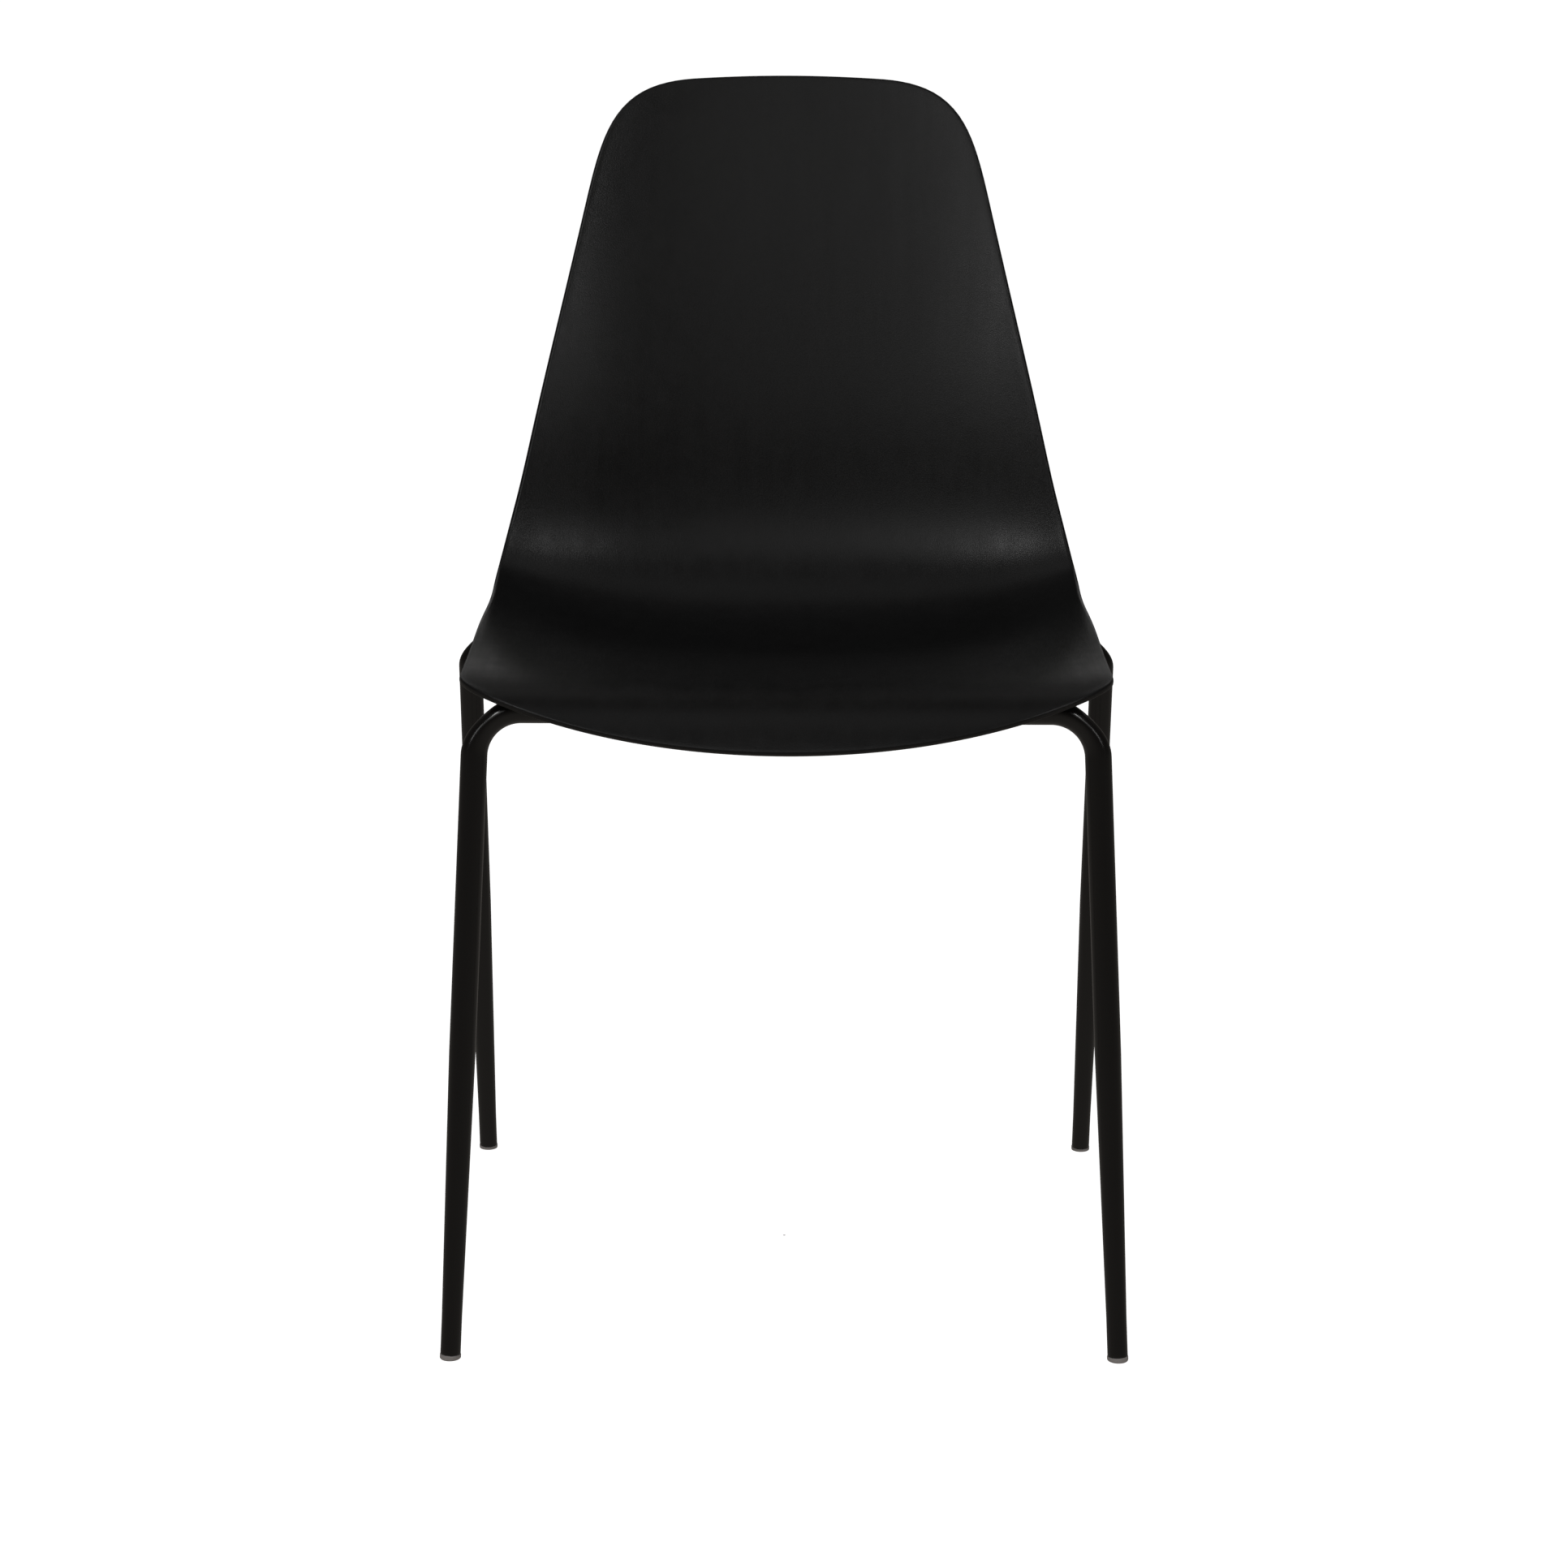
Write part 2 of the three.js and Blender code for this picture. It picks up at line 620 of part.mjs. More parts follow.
const chair = new THREE.Group();
rails();
fixings();
chair.add(seatShell(), legHoop('front', FRONT_HOOP), legHoop('rear', REAR_HOOP), railFrame);

const middle = new THREE.Box3().setFromObject(chair).getCenter(new THREE.Vector3());
chair.position.y = -middle.y;

export default chair;
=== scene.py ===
# The looks of a stacking chair: a moulded shell on bent steel tube. Shapes are worked out in
# millimetres, in the shared frame: +Z up, the sitter faces -Y. Meshes are made in metres.

import math

import bmesh
import bpy
import numpy as np
from mathutils import Matrix, Vector


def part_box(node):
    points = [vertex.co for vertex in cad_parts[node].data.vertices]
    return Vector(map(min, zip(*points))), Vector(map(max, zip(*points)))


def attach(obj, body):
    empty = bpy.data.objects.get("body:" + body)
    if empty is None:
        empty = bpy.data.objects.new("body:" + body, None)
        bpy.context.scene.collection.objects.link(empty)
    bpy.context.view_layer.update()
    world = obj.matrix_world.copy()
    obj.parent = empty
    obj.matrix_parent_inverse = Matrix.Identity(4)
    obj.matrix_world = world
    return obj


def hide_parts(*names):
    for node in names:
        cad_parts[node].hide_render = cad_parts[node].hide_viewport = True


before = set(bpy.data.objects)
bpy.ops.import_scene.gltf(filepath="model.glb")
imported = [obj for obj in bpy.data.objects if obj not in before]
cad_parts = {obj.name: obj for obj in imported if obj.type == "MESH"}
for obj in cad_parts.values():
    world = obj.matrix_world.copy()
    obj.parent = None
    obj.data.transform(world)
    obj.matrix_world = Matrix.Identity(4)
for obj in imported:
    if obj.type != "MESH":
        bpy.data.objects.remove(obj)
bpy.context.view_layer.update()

MM = 0.001
GAP = 0.3  # what touching pieces keep between them
SIDES = (("right", 1), ("left", -1))
ENDS = ("front", "rear")

# ---- driving dimensions, in millimetres --------------------------------------------------------

# The shell's centre line from the front lip to the top of the back, as the control points (y, z)
# of a cubic spline.
CENTRE_LINE = (
    (-253, 428), (-238, 452), (-205, 467), (-130, 461), (-20, 452), (90, 434),
    (172, 445), (212, 500), (222, 575), (243, 665), (266, 760), (291, 855),
)
THICKNESS = 4.5
HALF_WIDTH = 220  # of the seat
FRONT_ROUND = 85  # how far back the elliptical front edge reaches
TAPER_FROM, TAPER_EASE, TAPER = 464, 62, 0.2175  # where, over what half length and how steeply
# The top's corners: where they start below it, half the flat between, its crown, their fullness.
TOP_CORNER, TOP_FLAT, TOP_CROWN, CORNER_PULL = 110, 72, 3, 0.575
# How far the side edges stand forward at the lip, at most and at the top, and where they do most.
DISH_FRONT, DISH_DEEPEST, DISH_TOP, DISH_DEEPEST_AT = 2, 40, 13, 440
RIM_TOP_ROUND, RIM_FOOT_ROUND = 1.9, 0.8  # radii of the rim's two edges

# Feet and cross tubes of the two leg hoops, by their centre lines.
FRONT_HOOP = {"foot": (229, -232), "shoulder": 207.7, "cross": (-198.5, 446.8), "bend": 32}
REAR_HOOP = {"foot": (240.5, 231), "shoulder": 244.2, "cross": (172, 428.8), "bend": 20}
TUBE_RADIUS, FOOT_RADIUS, TUBE_WALL = 9, 7, 1.5
BEND_FLATTENING = 0.3  # how much its outer side is drawn in, half way round a bend
TAPER_LEG = (30, 215)  # the stretch of the leg that widens, from the foot
FOOT_END = 3.5  # how far up the leg its tube starts, above the glide

RAIL_X, RAIL_RADIUS, RAIL_WALL = 120, 8, 1.5
TAB_ALONG = {"front": 34, "rear": 318}  # along the rail, from the front cross tube
HOLE_X, HOLE_RADIUS = 90, 3.3
TAB_INNER_X, TAB_HALF, TAB_CORNER = 74, 15, 6  # a tab's inner end, half its length, its corners
TAB_UNDER, TAB_TOP = -6, -3  # its two faces, from the rails' plane
INSERT_HOLE_RADIUS, INSERT_HOLE_TOP, SCREW_HOLE_TOP = 4.3, 5.9, 8.2  # in a boss, from that plane
CLIP_X, CLIP_WIDTH, CLIP_RADIUS, CLIP_BELOW = 90, 14, 13, 3  # the hooks on the front cross tube
RIB_HALF, RIB_DEPTH = 1.25, 6
BOSS_RADIUS = 9.5

OUTLINE_STEPS = 170  # along each half of the shell's outline
SHELL_ROWS = 48  # from the shell's centre line to its edge
ROUND = 48  # sides of a tube
AXIS = 0.01  # the radius where a turned piece closes on its axis

# ---- where things are, from the frame ----------------------------------------------------------


def node_box(node):
    low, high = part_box(node)
    return np.array(low) / MM, np.array(high) / MM


def node_middle(node):
    low, high = node_box(node)
    return (low + high) / 2


SHIFT_Y = node_middle("right_seat_rail")[1] - (FRONT_HOOP["cross"][0] + REAR_HOOP["cross"][0]) / 2
FRONT_CROSS = np.array([0, FRONT_HOOP["cross"][0] + SHIFT_Y, FRONT_HOOP["cross"][1]])
REAR_CROSS = np.array([0, REAR_HOOP["cross"][0] + SHIFT_Y, REAR_HOOP["cross"][1]])
RAIL_LENGTH = np.linalg.norm(REAR_CROSS - FRONT_CROSS)
RAIL_TILT = math.atan2(*(REAR_CROSS - FRONT_CROSS)[[2, 1]])


def on_rails(points):
    """Points of the rails' frame, whose origin is the front cross tube's middle, in the shared frame."""
    return turned_about_x(points, RAIL_TILT) + FRONT_CROSS


def at_node(points, node):
    """Points about a piece's own middle, laid square to the rails, where its CAD node is."""
    return turned_about_x(points, RAIL_TILT) + node_middle(node)


def turned_about_x(points, angle):
    x, y, z = np.asarray(points, float).T
    c, s = math.cos(angle), math.sin(angle)
    return np.stack([x, y * c - z * s, y * s + z * c], 1)


# ---- meshes ------------------------------------------------------------------------------------


def grid_faces(rows, columns, closed_rows=False):
    """Quads between rings of points, each ring closed. closed_rows joins the last ring to the first."""
    faces = []
    for r in range(rows if closed_rows else rows - 1):
        for c in range(columns):
            here, across = r * columns + c, r * columns + (c + 1) % columns
            up = (r + 1) % rows * columns
            faces.append((here, across, up + (c + 1) % columns, up + c))
    return faces


def tube_of_rings(rings, closed_rows=False):
    """Points and faces of a stack of rings (rows x columns x 3), capped unless it closes on itself."""
    rings = np.asarray(rings, float)
    rows, columns = rings.shape[:2]
    faces = grid_faces(rows, columns, closed_rows)
    if not closed_rows:
        faces.append(tuple(reversed(range(columns))))
        faces.append(tuple(range((rows - 1) * columns, rows * columns)))
    return rings.reshape(-1, 3), faces


def lathe(profile, columns=ROUND, closed=False, radius=None):
    """A solid of revolution about Z from (radius, height) rows. radius(), if given, shapes each one."""
    angles = np.linspace(0, 2 * math.pi, columns, endpoint=False)
    rings = []
    for r, height in profile:
        spread = np.full(columns, float(r)) if radius is None else radius(angles, r, height)
        rings.append(np.stack([
            spread * np.cos(angles), spread * np.sin(angles), np.full(columns, float(height)),
        ], 1))
    return tube_of_rings(rings, closed)


def rounded(corners, steps=5, closed=True):
    """A polyline with its corners rounded. Each corner is (x, y, radius)."""
    made = []
    count = len(corners)
    for i, (x, y, radius) in enumerate(corners):
        here = np.array([x, y], float)
        if not radius or (not closed and i in (0, count - 1)):
            made.append(here)
            continue
        before = np.array(corners[i - 1][:2], float) - here
        after = np.array(corners[(i + 1) % count][:2], float) - here
        before /= np.linalg.norm(before)
        after /= np.linalg.norm(after)
        half = math.acos(np.clip(before @ after, -1, 1)) / 2
        middle = here + (before + after) / np.linalg.norm(before + after) * radius / math.sin(half)
        start = here + before * radius / math.tan(half) - middle
        end = here + after * radius / math.tan(half) - middle
        turn = math.acos(np.clip(start @ end / radius**2, -1, 1))
        for share in np.linspace(0, 1, steps + 1):
            blend = math.sin((1 - share) * turn) * start + math.sin(share * turn) * end
            made.append(middle + blend / math.sin(turn))
    return np.array(made)


def inset_outline(outline, distance):
    """A closed outline, counter-clockwise, drawn in by a distance."""
    ahead = np.roll(outline, -1, 0) - outline
    behind = outline - np.roll(outline, 1, 0)
    ahead /= np.linalg.norm(ahead, axis=1)[:, None]
    behind /= np.linalg.norm(behind, axis=1)[:, None]
    inward = np.stack([-(ahead + behind)[:, 1], (ahead + behind)[:, 0]], 1)
    inward /= np.linalg.norm(inward, axis=1)[:, None]
    return outline + inward * distance


def slab(outline, bottom, top, edge):
    """A counter-clockwise outline pushed up along Z, with its two rims rounded."""
    bends = np.linspace(0, math.pi / 2, 4)
    rows = [(edge * (1 - math.sin(a)), bottom + edge * (1 - math.cos(a))) for a in bends]
    rows += [(inset, bottom + top - height) for inset, height in reversed(rows)]
    rings = []
    for inset, height in rows:
        flat = inset_outline(outline, inset)
        rings.append(np.column_stack([flat, np.full(len(flat), height)]))
    return tube_of_rings(rings)


def mesh_object(name, points, faces):
    """A mesh from points in millimetres. Doubled points become one."""
    mesh = bpy.data.meshes.new(name)
    mesh.from_pydata((np.asarray(points) * MM).tolist(), [], faces)
    work = bmesh.new()
    work.from_mesh(mesh)
    bmesh.ops.remove_doubles(work, verts=work.verts, dist=1e-7)
    bmesh.ops.dissolve_degenerate(work, edges=work.edges, dist=1e-8)
    bmesh.ops.recalc_face_normals(work, faces=work.faces)
    work.to_mesh(mesh)
    work.free()
    made = bpy.data.objects.new(name, mesh)
    bpy.context.scene.collection.objects.link(made)
    return made


def combine(target, tool, operation):
    """Joins a closed mesh to the target, or cuts it from it, and removes the tool."""
    change = target.modifiers.new("combine", "BOOLEAN")
    change.operation = operation
    change.solver = "MANIFOLD"
    change.object = tool
    result = target.evaluated_get(bpy.context.evaluated_depsgraph_get())
    old = target.data
    target.data = bpy.data.meshes.new_from_object(result)
    target.modifiers.clear()
    bpy.data.meshes.remove(old)
    bpy.data.objects.remove(tool)


def fit_to_node(made, node):
    """Gives a mesh exactly the box of its CAD node, from which it differs a little."""
    low, high = (np.array(corner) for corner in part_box(node))
    count = len(made.data.vertices)
    points = np.empty(count * 3)
    made.data.vertices.foreach_get("co", points)
    points = points.reshape(-1, 3)
    own_low, own_high = points.min(0), points.max(0)
    points = low + (points - own_low) * (high - low) / (own_high - own_low)
    made.data.vertices.foreach_set("co", points.ravel())


def finished(made, material, smooth_degrees=35):
    """Shades a mesh, gives it its material and lets it ride on the chair's one body."""
    made.data.shade_smooth()
    made.data.set_sharp_from_angle(angle=math.radians(smooth_degrees))
    made.data.materials.clear()
    made.data.materials.append(material)
    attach(made, "root")
    return made


def in_place_of(node, made, material, smooth_degrees=35):
    fit_to_node(made, node)
    finished(made, material, smooth_degrees)
    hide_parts(node)
    return made


# ---- the shell's surface -----------------------------------------------------------------------


def clamped_spline(controls, shares):
    """Points of a clamped uniform cubic B-spline at shares from 0 to 1."""
    controls = np.array(controls, float)
    spans = len(controls) - 3
    knots = np.concatenate([[0] * 3, np.linspace(0, 1, spans + 1), [1] * 3])
    span = np.clip((shares * spans).astype(int), 0, spans - 1) + 3
    points = [controls[span - 3 + i] for i in range(4)]
    for level in range(1, 4):
        for i in range(3, level - 1, -1):
            low, high = knots[span - 3 + i], knots[span + 1 + i - level]
            blend = ((shares - low) / (high - low))[:, None]
            points[i] = (1 - blend) * points[i - 1] + blend * points[i]
    return points[3]


LINE = clamped_spline(CENTRE_LINE, np.linspace(0, 1, 6001))
LINE_FAR = np.concatenate([[0], np.cumsum(np.linalg.norm(np.diff(LINE, axis=0), axis=1))])
LINE_HEADING = np.gradient(LINE, axis=0)
LINE_HEADING /= np.linalg.norm(LINE_HEADING, axis=1)[:, None]
LENGTH = LINE_FAR[-1]


def smoother(value, low, high):
    share = np.clip((value - low) / (high - low), 0, 1)
    return share**3 * (share * (6 * share - 15) + 10)


def half_width_at(along):
    past = np.clip(along - TAPER_FROM + TAPER_EASE, 0, 2 * TAPER_EASE)
    beyond = np.maximum(along - TAPER_FROM - TAPER_EASE, 0)
    return HALF_WIDTH - TAPER * (past**2 / (4 * TAPER_EASE) + beyond)


def dish_at(along):
    """How far the side edges stand forward of the centre line."""
    rising = DISH_FRONT + (DISH_DEEPEST - DISH_FRONT) * smoother(along, 0, DISH_DEEPEST_AT)
    falling = DISH_DEEPEST + (DISH_TOP - DISH_DEEPEST) * smoother(along, DISH_DEEPEST_AT, LENGTH)
    return np.where(along < DISH_DEEPEST_AT, rising, falling)


def face_point(across, along):
    """Points of the sitter's side of the shell."""
    across, along = np.broadcast_arrays(np.asarray(across, float), np.asarray(along, float))
    held = np.clip(along, 0, LENGTH)
    y, z = (np.interp(held, LINE_FAR, LINE[:, i]) for i in (0, 1))
    heading_y, heading_z = (np.interp(held, LINE_FAR, LINE_HEADING[:, i]) for i in (0, 1))
    share = (across / half_width_at(along))**2
    rise = dish_at(along) * (share + share**2) / 2
    return np.stack([across, y - heading_z * rise + SHIFT_Y, z + heading_y * rise], -1)


def shell_point(across, along, depth):
    """Points at a depth under the sitter's side, square to it."""
    step = 1.0
    back = np.minimum(along, LENGTH - step)
    sideways = face_point(across + step, along) - face_point(across - step, along)
    forwards = face_point(across, back + step) - face_point(across, np.maximum(back - step, 0))
    normal = np.cross(sideways, forwards)
    normal /= np.linalg.norm(normal, axis=-1, keepdims=True)
    return face_point(across, along) - normal * np.asarray(depth, float)[..., None]


def bezier(points, count):
    shares = np.linspace(0, 1, count)[:, None]
    points = [np.array(p, float) * np.ones_like(shares) for p in points]
    while len(points) > 1:
        points = [(1 - shares) * a + shares * b for a, b in zip(points, points[1:])]
    return points[0]


def half_outline():
    """The right half of the shell's edge as (across, along), from the lip's middle to the top's."""
    turn_end = TAPER_FROM + TAPER_EASE
    corner_start = LENGTH - TOP_CORNER
    crown_edge = LENGTH - TOP_CROWN
    pull = CORNER_PULL * TOP_CORNER
    wide = float(half_width_at(corner_start))
    fine = 400
    angles = np.linspace(-math.pi / 2, 0, fine)
    lip = np.stack([HALF_WIDTH * np.cos(angles), FRONT_ROUND * (1 + np.sin(angles))], 1)
    side = bezier([(HALF_WIDTH, TAPER_FROM - TAPER_EASE), (HALF_WIDTH, TAPER_FROM),
                   (float(half_width_at(turn_end)), turn_end)], fine)
    corner = bezier([(wide, corner_start), (wide - TAPER * pull, corner_start + pull),
                     (TOP_FLAT + pull, crown_edge - 2 * TOP_CROWN / TOP_FLAT * pull),
                     (TOP_FLAT, crown_edge)], fine)
    crown = bezier([(TOP_FLAT, crown_edge), (TOP_FLAT / 2, LENGTH), (0, LENGTH)], fine)
    path = np.concatenate([lip, side, corner, crown])
    far = np.concatenate([[0], np.cumsum(np.linalg.norm(np.diff(path, axis=0), axis=1))])
    evenly = np.linspace(0, far[-1], OUTLINE_STEPS + 1)
    return np.stack([np.interp(evenly, far, path[:, i]) for i in (0, 1)], 1)


def shell_stations():
    """(share of the way to the edge, inset, depth): over the face, round the rim and back under."""
    shares = np.linspace(0, 1, SHELL_ROWS + 1)
    bends = np.linspace(0, math.pi / 2, 5)
    top, foot = RIM_TOP_ROUND, RIM_FOOT_ROUND
    face = [(share, top, 0) for share in shares[:-1]]
    upper = [(1, top * (1 - math.sin(a)), top * (1 - math.cos(a))) for a in bends]
    lower = [(1, foot * (1 - math.cos(a)), THICKNESS - foot * (1 - math.sin(a))) for a in bends]
    under = [(share, foot, THICKNESS) for share in shares[-2::-1]]
    return face + upper + lower + under


def shell_sheet():
    right = half_outline()
    edge = np.concatenate([right, right[-2:0:-1] * (-1, 1)])
    turn = np.minimum(np.arange(len(edge)), len(edge) - np.arange(len(edge))) / OUTLINE_STEPS
    spine = FRONT_ROUND + (LENGTH - 2 * FRONT_ROUND) * turn
    reach_along = edge[:, 1] - spine
    full = np.hypot(edge[:, 0], reach_along)
    rings = []
    for share, inset, depth in shell_stations():
        reach = share * (1 - inset / full)
        depths = np.full(len(edge), float(depth))
        rings.append(shell_point(reach * edge[:, 0], spine + reach * reach_along, depths))
    rings = np.array(rings)
    return rings.reshape(-1, 3), grid_faces(*rings.shape[:2])


def along_at(y):
    """How far along the centre line of the seat it has a y of the shared frame."""
    seat = slice(0, np.searchsorted(LINE_FAR, DISH_DEEPEST_AT))
    return np.interp(y - SHIFT_Y, LINE[seat, 0], LINE_FAR[seat])


# ---- what is moulded under the shell -----------------------------------------------------------


def tab_middle(end, side):
    """The middle of a tab's hole, on the rails' plane."""
    return on_rails([[side * HOLE_X, TAB_ALONG[end], 0]])[0]


def rib(start, stop, steps):
    """A rib under the shell between two (across, along) places, its root flared as a fillet."""
    root, tip, flare = THICKNESS, THICKNESS + RIB_DEPTH, 1.5
    half = rounded([
        (RIB_HALF + flare + 0.1, root - 1, 0), (RIB_HALF + flare, root, 0),
        (RIB_HALF, root + 1.8, 2.0), (RIB_HALF * 0.8, tip, 0.6), (0, tip, 0),
    ], closed=False)
    section = np.concatenate([half, half[-2::-1] * (-1, 1)])
    start, stop = np.array(start, float), np.array(stop, float)
    heading = (stop - start) / np.linalg.norm(stop - start)
    sideways = np.array([-heading[1], heading[0]])
    rings = []
    for share in np.linspace(0, 1, steps + 1):
        places = start + (stop - start) * share + section[:, :1] * sideways
        rings.append(shell_point(places[:, 0], places[:, 1], section[:, 1]))
    return tube_of_rings(rings)


def underside_height(x, y):
    return shell_point(x, along_at(y), np.full(np.shape(x), THICKNESS))[..., 2]


def boss(end, side):
    """A round boss from the tab up into the shell, with a chamfered foot and a flared root."""
    foot = TAB_TOP + GAP
    angles = np.linspace(0, 2 * math.pi, ROUND, endpoint=False)
    middle = np.array([side * HOLE_X, TAB_ALONG[end]])
    chamfer = 0.7
    flare = ((0, 2.2), (0.35, 1.1), (0.95, 0.4), (1.8, 0), (1.8, -1.6))  # (wider, under the shell)
    rings = []
    for radius, height in ((BOSS_RADIUS - chamfer, foot), (BOSS_RADIUS, foot + chamfer)):
        flat = middle + radius * np.stack([np.cos(angles), np.sin(angles)], 1)
        rings.append(on_rails(np.column_stack([flat, np.full(ROUND, height)])))
    for wider, under in flare:
        flat = middle + (BOSS_RADIUS + wider) * np.stack([np.cos(angles), np.sin(angles)], 1)
        points = on_rails(np.column_stack([flat, np.zeros(ROUND)]))
        points[:, 2] = underside_height(points[:, 0], points[:, 1]) - under
        rings.append(points)
    return tube_of_rings(rings)


def pillar_on_rails(x, along, radius, bottom, top):
    points, faces = lathe([(radius, bottom), (radius, top)])
    return on_rails(points + (x, along, 0)), faces


def arc(radius, start, stop, steps=40):
    return [radius * np.array([math.cos(a), math.sin(a)]) for a in np.linspace(start, stop, steps)]


def clip(side):
    """A hook open below, round the front cross tube."""
    bore = TUBE_RADIUS + GAP
    outer_end, inner_end = math.asin(-CLIP_BELOW / CLIP_RADIUS), math.asin(-CLIP_BELOW / bore)
    outline = np.array(arc(CLIP_RADIUS, outer_end, math.pi - outer_end)
                       + arc(bore, math.pi - inner_end, inner_end))
    points, faces = slab(outline, -CLIP_WIDTH / 2, CLIP_WIDTH / 2, 0.5)
    across = np.stack([points[:, 2], points[:, 0], points[:, 1]], 1)
    return across + FRONT_CROSS + (side * CLIP_X, 0, 0), faces


def seat_shell(material):
    shell = mesh_object("shell", *shell_sheet())
    lines = {end: along_at(tab_middle(end, 1)[1]) for end in ENDS}
    added = [rib((side * HOLE_X, lines["front"]), (side * HOLE_X, lines["rear"]), 60)
             for _, side in SIDES]
    added += [rib((-HOLE_X, lines[end]), (HOLE_X, lines[end]), 30) for end in ENDS]
    added += [boss(end, side) for end in ENDS for _, side in SIDES]
    added += [clip(side) for _, side in SIDES]
    for points, faces in added:
        combine(shell, mesh_object("added", points, faces), "UNION")
    for end in ENDS:
        for _, side in SIDES:
            place = (side * HOLE_X, TAB_ALONG[end])
            for radius, top in ((INSERT_HOLE_RADIUS, INSERT_HOLE_TOP), (HOLE_RADIUS, SCREW_HOLE_TOP)):
                hole = pillar_on_rails(*place, radius, TAB_TOP - 1, top)
                combine(shell, mesh_object("hole", *hole), "DIFFERENCE")
    return in_place_of("seat_shell", shell, material, 40)


# ---- leg hoops and glides ----------------------------------------------------------------------


class Hoop:
    """A hoop's own plane, X across and Z up from the feet, and how it leans in the shared frame."""

    def __init__(self, foot, shoulder, cross, bend):
        self.foot_x, self.foot_y = foot
        self.bend = bend
        self.lean = math.atan2(self.foot_y - cross[0], cross[1])
        self.height = math.hypot(self.foot_y - cross[0], cross[1])
        self.slant = math.atan2(self.foot_x - shoulder, self.height)
        lift = self.height - bend + bend * math.sin(self.slant)
        self.bend_start = lift / math.cos(self.slant)
        self.up = np.array([-math.sin(self.slant), math.cos(self.slant)])

    def stand(self, points):
        return turned_about_x(points, self.lean) + (0, self.foot_y + SHIFT_Y, 0)

    def leg_point(self, far):
        return np.array([self.foot_x, 0]) + far * self.up

    def bend_stations(self, steps):
        """Stations round the shoulder, where bending has drawn the outside of the tube in."""
        inward = np.array([-self.up[1], self.up[0]])
        centre = self.leg_point(self.bend_start) + self.bend * inward
        stations = []
        for turn in np.linspace(0, 1, steps):
            angle = self.slant + turn * (math.pi / 2 - self.slant)
            radial = np.array([math.cos(angle), math.sin(angle)])
            kept = 1 - BEND_FLATTENING * math.sin(math.pi * turn)**2
            heading = np.array([-radial[1], radial[0]])
            stations.append((centre + self.bend * radial, heading, TUBE_RADIUS, kept))
        return stations


def tube_radius_at(far):
    share = np.clip((far - TAPER_LEG[0]) / (TAPER_LEG[1] - TAPER_LEG[0]), 0, 1)
    return FOOT_RADIUS + (TUBE_RADIUS - FOOT_RADIUS) * share


def half_hoop(hoop):
    """(point, heading, radius, how much of the outer side is kept) from the foot to the middle."""
    lip, plain_leg = FOOT_END + 1.2, (250, hoop.bend_start - 8)
    leg_stops = np.concatenate([[lip], np.linspace(*TAPER_LEG, 24), np.linspace(*plain_leg, 7)])
    stations = [(hoop.leg_point(far), hoop.up, tube_radius_at(far), 1) for far in leg_stops]
    stations += hoop.bend_stations(28)
    inner_end = stations[-1][0][0]
    for x in np.linspace(inner_end, 0, 9)[1:-1]:
        stations.append((np.array([x, hoop.height]), np.array([-1.0, 0.0]), TUBE_RADIUS, 1))
    return stations


def mirrored(stations):
    return [(point * (-1, 1), heading * (1, -1), *rest) for point, heading, *rest in reversed(stations)]


def ring_round(point, heading, radius, kept):
    angles = np.linspace(0, 2 * math.pi, ROUND, endpoint=False)
    outward = np.array([heading[1], -heading[0]])
    reach = np.cos(angles) * np.where(np.cos(angles) > 0, kept, 1)
    flat = point + radius * reach[:, None] * outward
    return np.stack([flat[:, 0], radius * np.sin(angles), flat[:, 1]], 1)


def hoop_tube(hoop):
    """The tube's outside from foot to foot, round its cut end, and its bore back again."""
    half = half_hoop(hoop)
    path = half + mirrored(half)
    edge = 0.35
    end_rows = [(FOOT_END + edge * (1 - math.cos(a)), edge * (1 - math.sin(a)))
                for a in np.linspace(0, math.pi / 2, 4)]
    lips = [(hoop.leg_point(far), hoop.up, FOOT_RADIUS - inset, 1) for far, inset in end_rows]
    bore_lip = [(hoop.leg_point(FOOT_END), hoop.up, FOOT_RADIUS - TUBE_WALL, 1)]
    bore = [(point, heading, radius - TUBE_WALL, kept) for point, heading, radius, kept in reversed(path)]
    rows = lips + path + mirrored(lips) + mirrored(bore_lip) + bore + bore_lip
    rings = [ring_round(*row) for row in rows]
    points, faces = tube_of_rings(rings, closed_rows=True)
    return hoop.stand(points), faces


def glide(hoop, side):
    """A round foot cut level at the floor, and the ribbed stem that plugs the tube."""
    radius, height, stem, shoulder, tip = 7.3, 3.2, 5.2, 20, 21.2
    foot = rounded([
        (AXIS, 0, 0), (6.0, 0, 0), (radius, 0.05, 1.1), (radius, height, 0.35), (5.5, height, 0),
        (stem, height + 0.3, 0),
    ], closed=False)
    ribs = [(stem - 0.25 * (k % 2), 5 + 1.4 * k) for k in range(10)]
    rows = [*foot, *ribs, (stem, shoulder), (stem - 1, tip), (AXIS, tip)]
    points, faces = lathe(rows, 40)
    local_up = np.array([side * hoop.up[0], hoop.up[1]])
    sideways = np.array([local_up[1], -local_up[0]])
    flat = points[:, :1] * sideways + points[:, 2:] * local_up + (side * hoop.foot_x, 0)
    stood = hoop.stand(np.stack([flat[:, 0], points[:, 1], flat[:, 1]], 1))
    levelled = 3.0  # up to here the glide is sheared until its sole is level
    sole = points[:, 2] < levelled
    fade = np.clip(1 - points[sole, 2] / levelled, 0, 1)
    axis_up = turned_about_x([[local_up[0], 0, local_up[1]]], hoop.lean)[0]
    level = points[sole, 2] * axis_up[2]
    drop = (stood[sole, 2] - level) * fade / axis_up[2]
    stood[sole] -= drop[:, None] * axis_up
    return stood, faces


